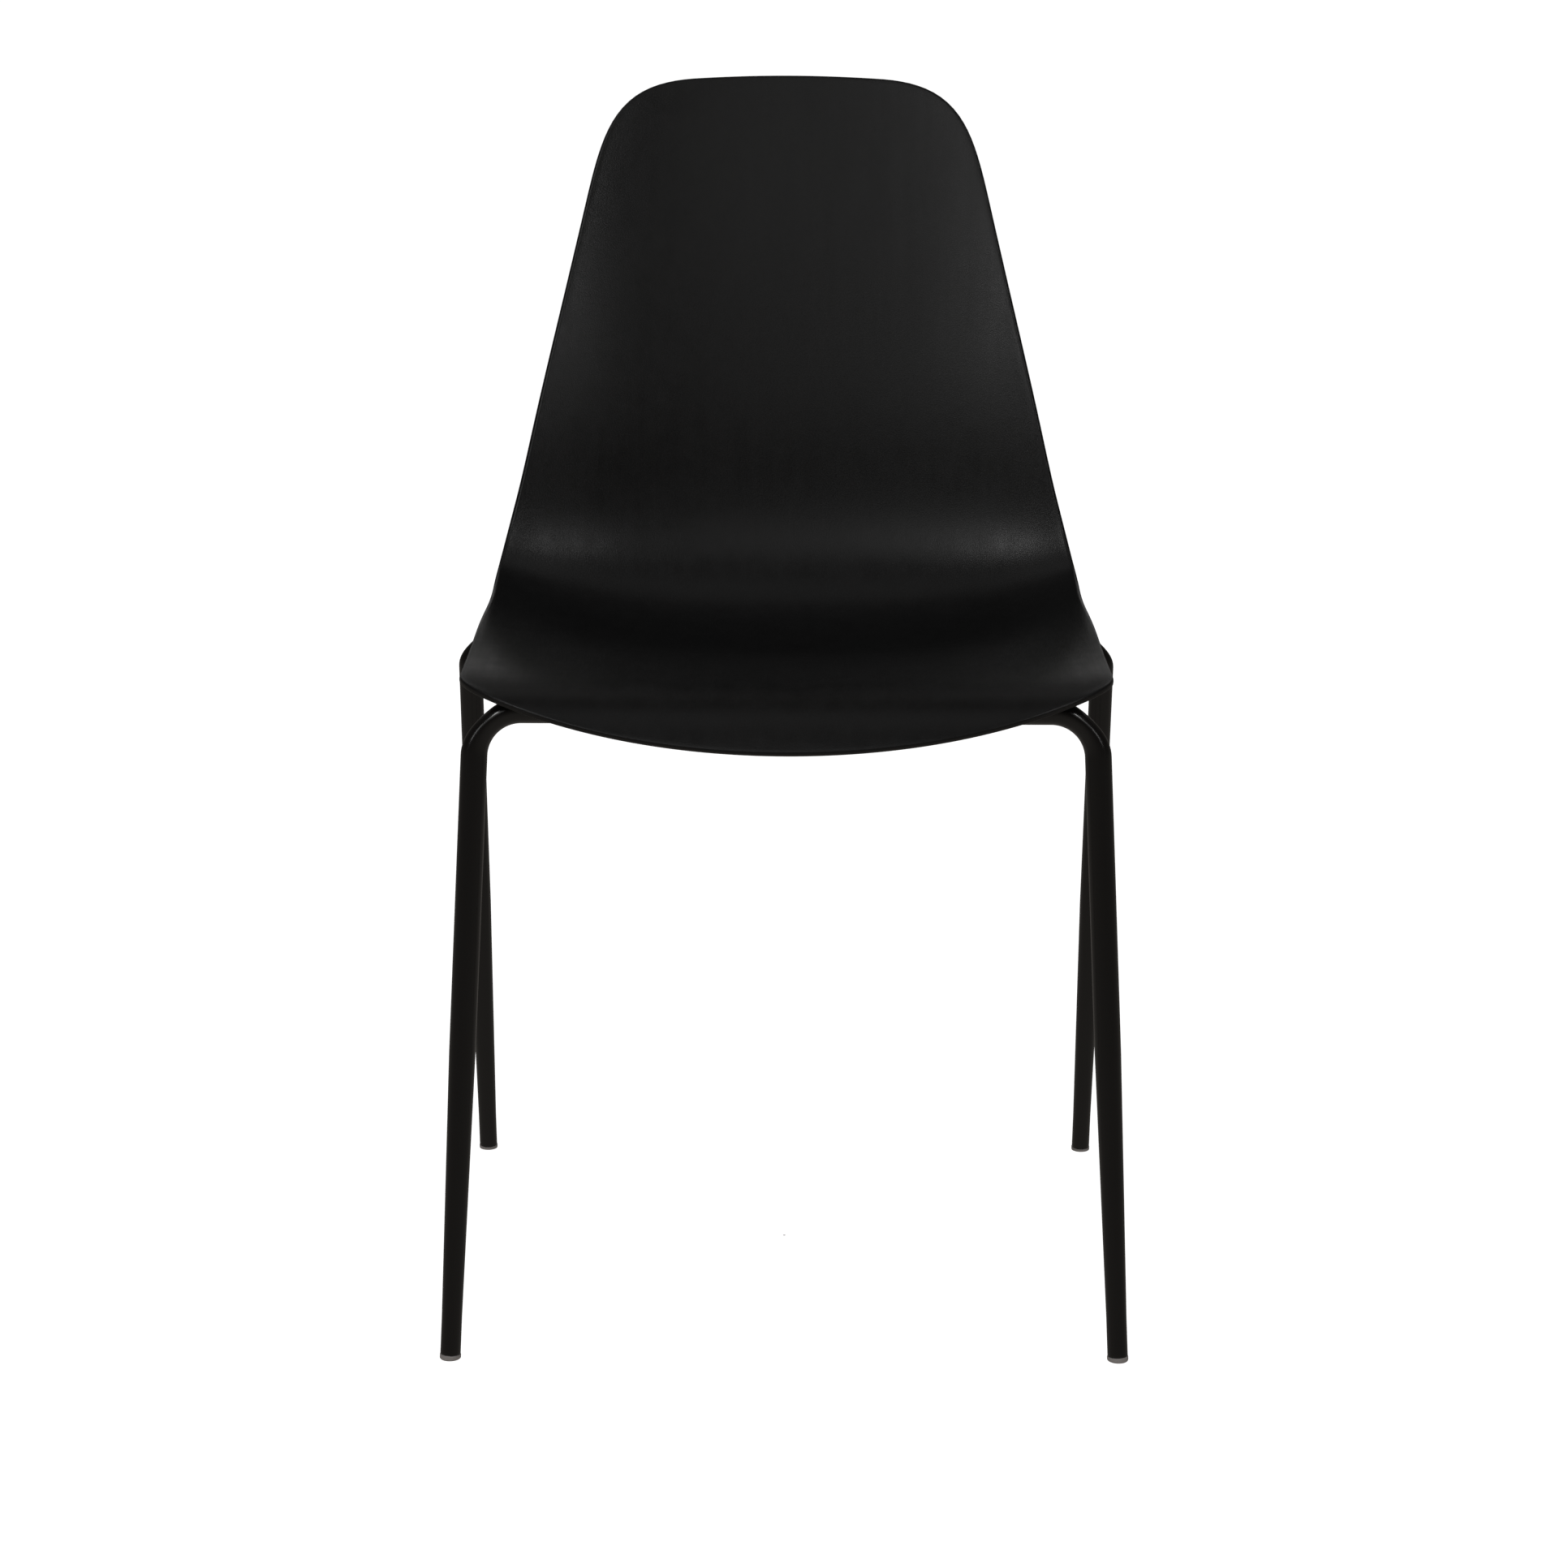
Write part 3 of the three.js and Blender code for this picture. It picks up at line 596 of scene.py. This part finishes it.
def leg_hoops(steel, pale):
    for end, size in (("front", FRONT_HOOP), ("rear", REAR_HOOP)):
        hoop = Hoop(**size)
        tube = mesh_object(f"{end}_legs", *hoop_tube(hoop))
        in_place_of(f"{end}_leg_hoop", tube, steel)
        for side_name, side in SIDES:
            foot = mesh_object(f"{end}_{side_name}_foot", *glide(hoop, side))
            in_place_of(f"{end}_{side_name}_glide", foot, pale)


# ---- rails, tabs, bumpers and fasteners --------------------------------------------------------


def cope(radius, angles, clearance):
    """How far a tube end stands from the cross tube's axis, so that it meets that tube all round."""
    return np.sqrt((TUBE_RADIUS + clearance)**2 - (radius * np.sin(angles))**2)


def rail(side):
    angles = np.linspace(0, 2 * math.pi, ROUND, endpoint=False)
    rings = []
    for radius, flip in ((RAIL_RADIUS, False), (RAIL_RADIUS - RAIL_WALL, True)):
        ends = cope(radius, angles, GAP)
        stops = [ends + (RAIL_LENGTH - 2 * ends) * share for share in np.linspace(0, 1, 7)]
        rings += [np.stack([radius * np.cos(angles) + side * RAIL_X, stop, radius * np.sin(angles)], 1)
                  for stop in (reversed(stops) if flip else stops)]
    points, faces = tube_of_rings(rings, closed_rows=True)
    return on_rails(points), faces


def bead(path, radius, ripples, closed, aside):
    """A weld bead with the ripples of its puddle. The path is nowhere parallel to aside."""
    path = np.asarray(path, float)
    heading = np.roll(path, -1, 0) - np.roll(path, 1, 0)
    if not closed:
        heading[0], heading[-1] = path[1] - path[0], path[-1] - path[-2]
    heading /= np.linalg.norm(heading, axis=1)[:, None]
    first = np.cross(heading, aside)
    first /= np.linalg.norm(first, axis=1)[:, None]
    second = np.cross(heading, first)
    shares = np.arange(len(path)) / len(path)
    swell = radius * (0.93 + 0.13 * np.abs(np.sin(math.pi * ripples * shares)))
    if not closed:  # its two ends are drawn in
        swell *= np.sqrt(np.clip(np.minimum(shares, shares[::-1]) * 14 + 0.12, 0, 1))
    angles = np.linspace(0, 2 * math.pi, 14, endpoint=False)
    rings = [point + s * (np.cos(angles)[:, None] * a + np.sin(angles)[:, None] * b)
             for point, s, a, b in zip(path, swell, first, second)]
    return tube_of_rings(rings, closed_rows=closed)


def rail_welds(steel):
    angles = np.linspace(0, 2 * math.pi, 180, endpoint=False)
    stand_off = cope(RAIL_RADIUS, angles, 0.9)
    reach = RAIL_RADIUS + 0.2
    for side_name, side in SIDES:
        for end, along in (("front", stand_off), ("rear", RAIL_LENGTH - stand_off)):
            loop = np.stack([reach * np.cos(angles) + side * RAIL_X, along, reach * np.sin(angles)], 1)
            points, faces = bead(loop, 1.5, 34, True, (0.0, 1.0, 0.0))
            made = mesh_object(f"{end}_{side_name}_rail_weld", on_rails(points), faces)
            finished(made, steel, 50)


def tab_plate(end, side):
    """A plate from the rail's side inwards, holed for the screw, with its corners and rims rounded."""
    along = TAB_ALONG[end]
    near, far = along - TAB_HALF, along + TAB_HALF
    outline = rounded([(TAB_INNER_X, near, TAB_CORNER), (RAIL_X, near, 0), (RAIL_X, far, 0),
                       (TAB_INNER_X, far, TAB_CORNER)], 8)
    points, faces = slab(outline, TAB_UNDER, TAB_TOP, 0.35)
    made = mesh_object(f"{end}_tab", on_rails(points), faces)
    hole = pillar_on_rails(HOLE_X, along, HOLE_RADIUS, TAB_UNDER - 2, TAB_TOP + 2)
    combine(made, mesh_object("hole", *hole), "DIFFERENCE")
    reach = 40  # past both ends of the tab
    bore, bore_faces = lathe([(RAIL_RADIUS + GAP, -reach), (RAIL_RADIUS + GAP, reach)])
    bore = on_rails(np.stack([bore[:, 0] + RAIL_X, bore[:, 2] + along, bore[:, 1]], 1))
    combine(made, mesh_object("rail_space", bore, bore_faces), "DIFFERENCE")
    if side < 0:
        mirror(made)
    return made


def mirror(made):
    """Turns a right-hand piece into its left-hand twin."""
    work = bmesh.new()
    work.from_mesh(made.data)
    for vertex in work.verts:
        vertex.co.x = -vertex.co.x
    bmesh.ops.reverse_faces(work, faces=work.faces)
    work.to_mesh(made.data)
    work.free()


def tab_welds(steel):
    """Short beads where each tab meets the rail, over and under the plate."""
    steps, half_length, rise = 90, 12, 0.4
    for side_name, side in SIDES:
        for end in ENDS:
            for where, height in (("upper", TAB_TOP + rise), ("lower", TAB_UNDER - rise)):
                inset = math.sqrt((RAIL_RADIUS + 0.1)**2 - height**2)
                line = np.column_stack([
                    np.full(steps, side * (RAIL_X - inset)),
                    np.linspace(-half_length, half_length, steps) + TAB_ALONG[end],
                    np.full(steps, height),
                ])
                points, faces = bead(line, 1.1, 17, False, (0.0, 0.0, 1.0))
                name = f"{end}_{side_name}_{where}_tab_weld"
                finished(mesh_object(name, on_rails(points), faces), steel, 50)


def threaded(outer, depth, pitch, bottom, top):
    """(radius, height) rows and a radius function for a screw thread between two heights."""
    def radius(angles, r, height):
        if not bottom < height < top or r < outer - 0.01:
            return np.full(len(angles), float(r))
        wave = np.cos(2 * math.pi * height / pitch - angles)
        return np.full(len(angles), float(outer)) - depth * (0.5 - 0.5 * wave)
    return [(outer, h) for h in np.arange(bottom, top, pitch / 8)], radius


def screw(end, side_name):
    """A button-head screw with a hexagon socket, its thread cut along the shank."""
    head, height, shank, length, rim = 5.3, 3.3, 3.0, 16, 0.25
    dome = [(max(head * math.sin(a), AXIS), -rim - (height - rim) * math.cos(a))
            for a in np.linspace(0, math.pi / 2, 14)]
    thread, radius = threaded(shank, 0.45, 1.0, 1.6, length - 1.2)
    rows = dome + [(head, 0), (shank, 0), (shank, 1.4)] + thread
    rows += [(shank, length - 1.0), (shank - 1, length), (AXIS, length)]
    node = f"{end}_{side_name}_mounting_screw"
    middle = (0, 0, (length - height) / 2)
    points, faces = lathe(rows, 36, radius=radius)
    made = mesh_object(f"{end}_{side_name}_screw", at_node(points - middle, node), faces)
    across_corners, floor = 2.31, 2 - height
    points, faces = lathe([(across_corners, -2 * height), (across_corners, floor)], 6)
    combine(made, mesh_object("socket", at_node(points - middle, node), faces), "DIFFERENCE")
    return made


def washer(end, side_name):
    hole, rim, half = 3.3, 7, 0.75
    profile = rounded([(hole, -half, 0.2), (rim, -half, 0.45), (rim, half, 0.25), (hole, half, 0.2)], 4)
    points, faces = lathe(profile, 56, closed=True)
    placed = at_node(points, f"{end}_{side_name}_washer")
    return mesh_object(f"{end}_{side_name}_plain_washer", placed, faces)


def insert(end, side_name):
    """A knurled brass insert with a groove round its middle."""
    knurls, knurl_depth = 26, 0.28
    outer, groove, bore, half_length = 4.0, 3.4, 3.3, 4.0  # three radii and a length

    def knurled(angles, r, height):
        if r < outer:
            return np.full(len(angles), float(r))
        crossed = np.maximum(np.abs(np.sin(knurls / 2 * angles + height)),
                             np.abs(np.sin(knurls / 2 * angles - height)))
        return r - knurl_depth * (1 - crossed)

    upper = [(bore, half_length), (outer - 0.4, half_length), (outer, half_length - 0.4)]
    upper += [(outer, h) for h in np.linspace(3.2, 1.0, 12)] + [(groove, 0.5)]
    lower = [(r, -h) for r, h in reversed(upper)]
    points, faces = lathe(upper + lower, 4 * knurls, closed=True, radius=knurled)
    placed = at_node(points, f"{end}_{side_name}_threaded_insert")
    return mesh_object(f"{end}_{side_name}_brass_insert", placed, faces)


def bumper(end, side_name):
    """A rubber saddle clipped over the rail from below, its sole grooved."""
    length, half, depth, lip, chamfer = 26, 12, 13.5, 1.5, 3.5
    groove_top, groove_floor, groove_depth = 0.9, 0.5, 0.8
    bore = RAIL_RADIUS + GAP
    opening = math.asin(lip / bore)
    left = [(-bore * math.cos(opening), lip, 0.5), (-half, lip, 1.0), (-half, -depth + chamfer, 1.5),
            (-half + chamfer, -depth, 1.5)]
    sole = []
    for middle in (-5, 0, 5):
        sole += [(middle - groove_top, -depth, 0.35), (middle - groove_floor, -depth + groove_depth, 0.2),
                 (middle + groove_floor, -depth + groove_depth, 0.2), (middle + groove_top, -depth, 0.35)]
    right = [(-x, y, r) for x, y, r in reversed(left)]
    angles = np.linspace(-opening, math.pi + opening, 26)[1:-1]
    inner = [(bore * math.cos(a), -bore * math.sin(a), 0) for a in angles]
    outline = rounded(left + sole + right + inner, 4)
    points, faces = slab(outline, -length / 2, length / 2, 0.3)
    stood = np.stack([points[:, 0], -points[:, 2], points[:, 1] - (lip - depth) / 2], 1)
    placed = at_node(stood, f"{end}_{side_name}_stacking_bumper")
    return mesh_object(f"{end}_{side_name}_bumper", placed, faces)


def under_seat(steel, zinc, brass, rubber):
    for side_name, side in SIDES:
        made = mesh_object(f"{side_name}_rail", *rail(side))
        in_place_of(f"{side_name}_seat_rail", made, steel)
        for end in ENDS:
            node = f"{end}_{side_name}"
            tab = tab_plate(end, side)
            tab.name = f"{node}_tab"
            in_place_of(f"{node}_mounting_tab", tab, steel)
            in_place_of(f"{node}_mounting_screw", screw(end, side_name), zinc, 30)
            in_place_of(f"{node}_washer", washer(end, side_name), zinc)
            in_place_of(f"{node}_threaded_insert", insert(end, side_name), brass, 25)
            in_place_of(f"{node}_stacking_bumper", bumper(end, side_name), rubber)
    rail_welds(steel)
    tab_welds(steel)


# ---- materials ---------------------------------------------------------------------------------


class Finish:
    """A Principled material whose patterns are laid in the shared frame, in metres."""

    def __init__(self, name, **values):
        self.material = bpy.data.materials.new(name)
        self.material.use_nodes = True
        self.nodes = self.material.node_tree.nodes
        self.links = self.material.node_tree.links
        self.shader = self.nodes["Principled BSDF"]
        for socket, value in values.items():
            self.shader.inputs[socket.replace("_", " ")].default_value = value
        self.place = self.nodes.new("ShaderNodeTexCoord").outputs["Object"]

    def link(self, source, node, socket):
        self.links.new(source, node.inputs[socket])

    def noise(self, scale, detail=2.0, roughness=0.5, stretch=None):
        """A noise pattern with so many cells to a metre, as an output from 0 to 1."""
        place = self.place
        if stretch:
            mapping = self.nodes.new("ShaderNodeMapping")
            mapping.inputs["Scale"].default_value = stretch
            self.link(place, mapping, "Vector")
            place = mapping.outputs["Vector"]
        texture = self.nodes.new("ShaderNodeTexNoise")
        texture.inputs["Scale"].default_value = scale
        texture.inputs["Detail"].default_value = detail
        texture.inputs["Roughness"].default_value = roughness
        self.link(place, texture, "Vector")
        return texture.outputs["Fac"]

    def cells(self, scale):
        texture = self.nodes.new("ShaderNodeTexVoronoi")
        texture.feature = "SMOOTH_F1"
        texture.inputs["Scale"].default_value = scale
        self.link(self.place, texture, "Vector")
        return texture.outputs["Distance"]

    def between(self, source, low, high, from_low=0.0, from_high=1.0):
        """source, stretched from its own range to low..high."""
        node = self.nodes.new("ShaderNodeMapRange")
        for socket, value in (("From Min", from_low), ("From Max", from_high),
                              ("To Min", low), ("To Max", high)):
            node.inputs[socket].default_value = value
        self.link(source, node, "Value")
        return node.outputs["Result"]

    def maths(self, operation, *sources):
        node = self.nodes.new("ShaderNodeMath")
        node.operation = operation
        for i, source in enumerate(sources):
            if isinstance(source, (int, float)):
                node.inputs[i].default_value = source
            else:
                self.links.new(source, node.inputs[i])
        return node.outputs["Value"]

    def colours(self, source, first, second):
        """A blend of two colours by source."""
        node = self.nodes.new("ShaderNodeMix")
        node.data_type = "RGBA"
        node.inputs["A"].default_value = (*first, 1)
        node.inputs["B"].default_value = (*second, 1)
        self.links.new(source, node.inputs["Factor"])
        return node.outputs["Result"]

    def mixed(self, source, first, second):
        """A blend of two colour outputs by source."""
        node = self.nodes.new("ShaderNodeMix")
        node.data_type = "RGBA"
        self.links.new(first, node.inputs["A"])
        self.links.new(second, node.inputs["B"])
        self.links.new(source, node.inputs["Factor"])
        return node.outputs["Result"]

    def worn_edge(self, start=0.53, full=0.62):
        """1 on sharp convex edges, which handling polishes."""
        geometry = self.nodes.new("ShaderNodeNewGeometry")
        return self.between(geometry.outputs["Pointiness"], 0, 1, start, full)

    def bumps(self, *layers):
        """Each layer is (height, depth in metres)."""
        normal = None
        for height, depth in layers:
            node = self.nodes.new("ShaderNodeBump")
            node.inputs["Distance"].default_value = depth
            self.link(height, node, "Height")
            if normal:
                self.link(normal, node, "Normal")
            normal = node.outputs["Normal"]
        self.link(normal, self.shader, "Normal")

    def paint(self, colour, roughness):
        self.link(colour, self.shader, "Base Color")
        self.link(roughness, self.shader, "Roughness")


def moulded_shell():
    """Black polypropylene with a fine spark-eroded texture."""
    finish = Finish("shell_plastic")
    broad = finish.noise(7, 3)
    mottle = finish.noise(60, 4, 0.6)
    grain = finish.cells(1500)
    fine = finish.noise(3600, 2)
    scuffs = finish.noise(90, 6, 0.7, stretch=(1, 0.08, 0.08))
    sink_marks_and_glints = hook_sink_marks_and_glints(finish)
    base = finish.colours(finish.between(mottle, 0, 1, 0.35, 0.65),
                          (0.0098, 0.0099, 0.0103), (0.0122, 0.0123, 0.0127))
    lighter = finish.colours(broad, (0.0150, 0.0151, 0.0155), (0.0180, 0.0180, 0.0184))
    colour = finish.mixed(finish.maths("MULTIPLY", finish.worn_edge(), 0.6), base, lighter)
    # The two sink marks are made lighter in colour: a painted glint. Their dent is in the bump below.
    glint_painted_colour = finish.mixed(sink_marks_and_glints, colour, finish.colours(broad, (0.02, 0.02, 0.02), (0.022, 0.022, 0.022)))
    rough = finish.maths("ADD", finish.between(mottle, 0.33, 0.38, 0.3, 0.7),
                         finish.between(scuffs, -0.03, 0.05, 0.35, 0.75))
    finish.paint(glint_painted_colour, rough)
    finish.bumps((grain, 0.00007), (fine, 0.00002), (sink_marks_and_glints, -0.00012))
    return finish.material


def hook_sink_marks_and_glints(finish):
    """Two faint sink marks on the seat, over the hooks that hold the front cross tube: a dent in the bump,
    and a painted glint where their colour is made lighter.
    """
    hook_y = FRONT_CROSS[1] - 6
    full, gone = 0.6, 2.6  # distances from a mark's middle
    below_seat, on_seat = 460.6, 461.0  # heights between which a mark sets in
    place = finish.nodes.new("ShaderNodeSeparateXYZ")
    finish.link(finish.place, place, "Vector")
    sideways = finish.maths("ABSOLUTE", place.outputs["X"])
    across = finish.maths("SUBTRACT", sideways, CLIP_X * MM)
    back = finish.maths("SUBTRACT", place.outputs["Y"], hook_y * MM)
    spread = finish.maths("SQRT", finish.maths("ADD", finish.maths("MULTIPLY", across, across),
                                               finish.maths("MULTIPLY", back, back)))
    spot = finish.between(spread, 1, 0, full * MM, gone * MM)
    on_top = finish.between(place.outputs["Z"], 0, 1, below_seat * MM, on_seat * MM)
    return finish.maths("MULTIPLY", finish.maths("MULTIPLY", spot, on_top), 0.7)


def powder_coat():
    """Satin black powder coat with its slight orange peel."""
    finish = Finish("powder_coated_steel", Coat_Weight=0.6, Coat_Roughness=0.16)
    peel = finish.noise(420, 3)
    speck = finish.noise(2600, 2)
    broad = finish.noise(25, 3)
    base = finish.colours(finish.between(speck, 0, 1, 0.4, 0.6),
                          (0.0088, 0.0079, 0.0074), (0.0112, 0.0101, 0.0096))
    rubbed = finish.colours(broad, (0.022, 0.020, 0.019), (0.027, 0.025, 0.024))
    colour = finish.mixed(finish.maths("MULTIPLY", finish.worn_edge(0.56, 0.66), 0.5), base, rubbed)
    finish.paint(colour, finish.between(broad, 0.20, 0.26, 0.3, 0.7))
    finish.bumps((peel, 0.00003), (speck, 0.000008))
    return finish.material


def pale_nylon():
    """Moulded grey nylon, dulled and darkened where it rubs the floor."""
    finish = Finish("glide_plastic")
    mottle = finish.noise(300, 4)
    scratch = finish.noise(700, 3, 0.7, stretch=(1, 1, 0.15))
    place = finish.nodes.new("ShaderNodeSeparateXYZ")
    finish.link(finish.place, place, "Vector")
    near_floor = finish.between(place.outputs["Z"], 1, 0, 0.0001, 0.0008)
    clean = finish.colours(mottle, (0.72, 0.68, 0.665), (0.78, 0.74, 0.725))
    scuffed = finish.colours(scratch, (0.46, 0.43, 0.42), (0.60, 0.56, 0.55))
    colour = finish.mixed(finish.maths("MULTIPLY", near_floor, scratch), clean, scuffed)
    finish.paint(colour, finish.between(scratch, 0.38, 0.58))
    finish.bumps((scratch, 0.00006), (mottle, 0.00004))
    return finish.material


def zinc_plate():
    """Bright zinc with the faint colour of its passivation."""
    finish = Finish("zinc_plated_steel", Metallic=1.0)
    tint = finish.noise(180, 3)
    brushed = finish.noise(900, 4, 0.7, stretch=(1, 1, 0.1))
    colour = finish.colours(finish.between(tint, 0, 1, 0.35, 0.65),
                            (0.50, 0.53, 0.58), (0.62, 0.60, 0.53))
    finish.paint(colour, finish.between(brushed, 0.24, 0.42))
    finish.bumps((brushed, 0.00003))
    return finish.material


def machined_brass():
    finish = Finish("insert_brass", Metallic=1.0)
    dull = finish.noise(350, 4)
    turned = finish.noise(1200, 3, 0.6, stretch=(0.1, 0.1, 1))
    colour = finish.colours(dull, (0.52, 0.37, 0.15), (0.70, 0.54, 0.26))
    finish.paint(colour, finish.between(turned, 0.22, 0.40))
    finish.bumps((turned, 0.00003))
    return finish.material


def moulded_rubber():
    finish = Finish("bumper_rubber")
    dust = finish.noise(120, 5, 0.65)
    pores = finish.cells(1300)
    colour = finish.colours(finish.between(dust, 0, 1, 0.45, 0.75),
                            (0.0125, 0.0125, 0.0125), (0.030, 0.029, 0.028))
    finish.paint(colour, finish.between(dust, 0.66, 0.82))
    finish.bumps((pores, 0.0001), (dust, 0.00008))
    return finish.material


# ---- studio ------------------------------------------------------------------------------------


def studio_floor():
    """A pale floor that sweeps up all round into a backdrop, seen by the camera alone."""
    flat, rise, sweep = 5.0, 7.0, 2.5
    bends = np.linspace(0, math.pi / 2, 16)
    rows = [(0.001, 0), (flat, 0)]  # in metres
    rows += [(flat + sweep * math.sin(a), sweep * (1 - math.cos(a))) for a in bends[1:]]
    rows += [(flat + sweep, rise)]
    points, _ = lathe([(r / MM, h / MM) for r, h in rows], 96)
    made = mesh_object("studio_floor", points, grid_faces(len(rows), 96))
    made.data.shade_smooth()
    material = bpy.data.materials.new("studio_floor")
    material.use_nodes = True
    paint = material.node_tree.nodes["Principled BSDF"]
    paint.inputs["Base Color"].default_value = (0.9, 0.9, 0.9, 1)
    paint.inputs["Roughness"].default_value = 0.9
    paint.inputs["Emission Color"].default_value = (1, 1, 1, 1)
    paint.inputs["Emission Strength"].default_value = 1.0
    made.data.materials.append(material)
    made.visible_glossy = False
    made.visible_diffuse = False
    made.visible_shadow = False


def room_light():
    """The room's own light: weak from above, and stronger from below, where the pale floor is."""
    world = bpy.data.worlds.new("room")
    bpy.context.scene.world = world
    world.use_nodes = True
    nodes, links = world.node_tree.nodes, world.node_tree.links
    split = nodes.new("ShaderNodeSeparateXYZ")
    links.new(nodes.new("ShaderNodeTexCoord").outputs["Generated"], split.inputs["Vector"])
    height = nodes.new("ShaderNodeMapRange")
    height.interpolation_type = "SMOOTHSTEP"
    above, below = 0.03, 0.16
    for socket, value in (("From Min", 0.3), ("From Max", -0.6), ("To Min", above), ("To Max", below)):
        height.inputs[socket].default_value = value
    links.new(split.outputs["Z"], height.inputs["Value"])
    background = nodes["Background"]
    background.inputs["Color"].default_value = (1.0, 0.93, 0.85, 1)
    links.new(height.outputs["Result"], background.inputs["Strength"])


def softbox(name, azimuth, elevation, size, brightness):
    """A rectangular area light facing the seat. brightness is what reaches it, in watts a square metre."""
    distance = 3.2
    data = bpy.data.lights.new(name, "AREA")
    data.shape = "RECTANGLE"
    data.size, data.size_y = size
    data.energy = brightness * math.pi * distance**2
    lamp = bpy.data.objects.new(name, data)
    bpy.context.scene.collection.objects.link(lamp)
    a, e = math.radians(azimuth), math.radians(elevation)
    aim = Vector((0, 0, 0.55))
    away = Vector((math.sin(a) * math.cos(e), -math.cos(a) * math.cos(e), math.sin(e)))
    lamp.location = aim + away * distance
    lamp.rotation_mode = "QUATERNION"
    lamp.rotation_quaternion = away.to_track_quat("Z", "Y")


def camera():
    """A little above the top of the back, looking down on the seat."""
    back, height = 2.306, 0.905
    down, roll = math.radians(12.26), math.radians(0.2)
    data = bpy.data.cameras.new("camera")
    data.lens, data.sensor_width, data.sensor_fit = 81.82, 36, "HORIZONTAL"
    made = bpy.data.objects.new("camera", data)
    bpy.context.scene.collection.objects.link(made)
    front_feet = (FRONT_HOOP["foot"][1] + SHIFT_Y) * MM
    made.location = (-0.0014, front_feet - back, height)
    turned = Matrix.Rotation(math.pi / 2 - down, 3, "X") @ Matrix.Rotation(roll, 3, "Z")
    made.rotation_euler = turned.to_euler()
    bpy.context.scene.camera = made


def studio():
    studio_floor()
    room_light()
    softbox("key", -20, 34, (2.4, 1.4), 0.20)
    softbox("key_core", -42, 36, (0.5, 0.5), 0.19)
    softbox("fill", 42, 34, (1.4, 1.4), 0.05)
    softbox("fill_core", 42, 36, (0.5, 0.5), 0.14)
    softbox("high_right", 78, 56, (1.4, 1.4), 0.06)
    softbox("high_left", -88, 56, (1.4, 1.4), 0.06)
    softbox("overhead", 0, 84, (1.8, 1.8), 0.06)
    softbox("left_strip", -55, 18, (0.25, 0.9), 0.08)
    softbox("right_strip", 55, 18, (0.25, 0.9), 0.06)
    softbox("low_rear", 180, 8, (2.6, 1.0), 0.07)
    softbox("rear_left", -150, 36, (1.6, 1.6), 0.08)
    softbox("rear_right", 150, 36, (1.6, 1.6), 0.08)
    camera()
    view = bpy.context.scene.view_settings
    view.view_transform = "Standard"
    view.look = "None"


# ---- the chair ---------------------------------------------------------------------------------

seat_shell(moulded_shell())
powder = powder_coat()
leg_hoops(powder, pale_nylon())
under_seat(powder, zinc_plate(), machined_brass(), moulded_rubber())
studio()
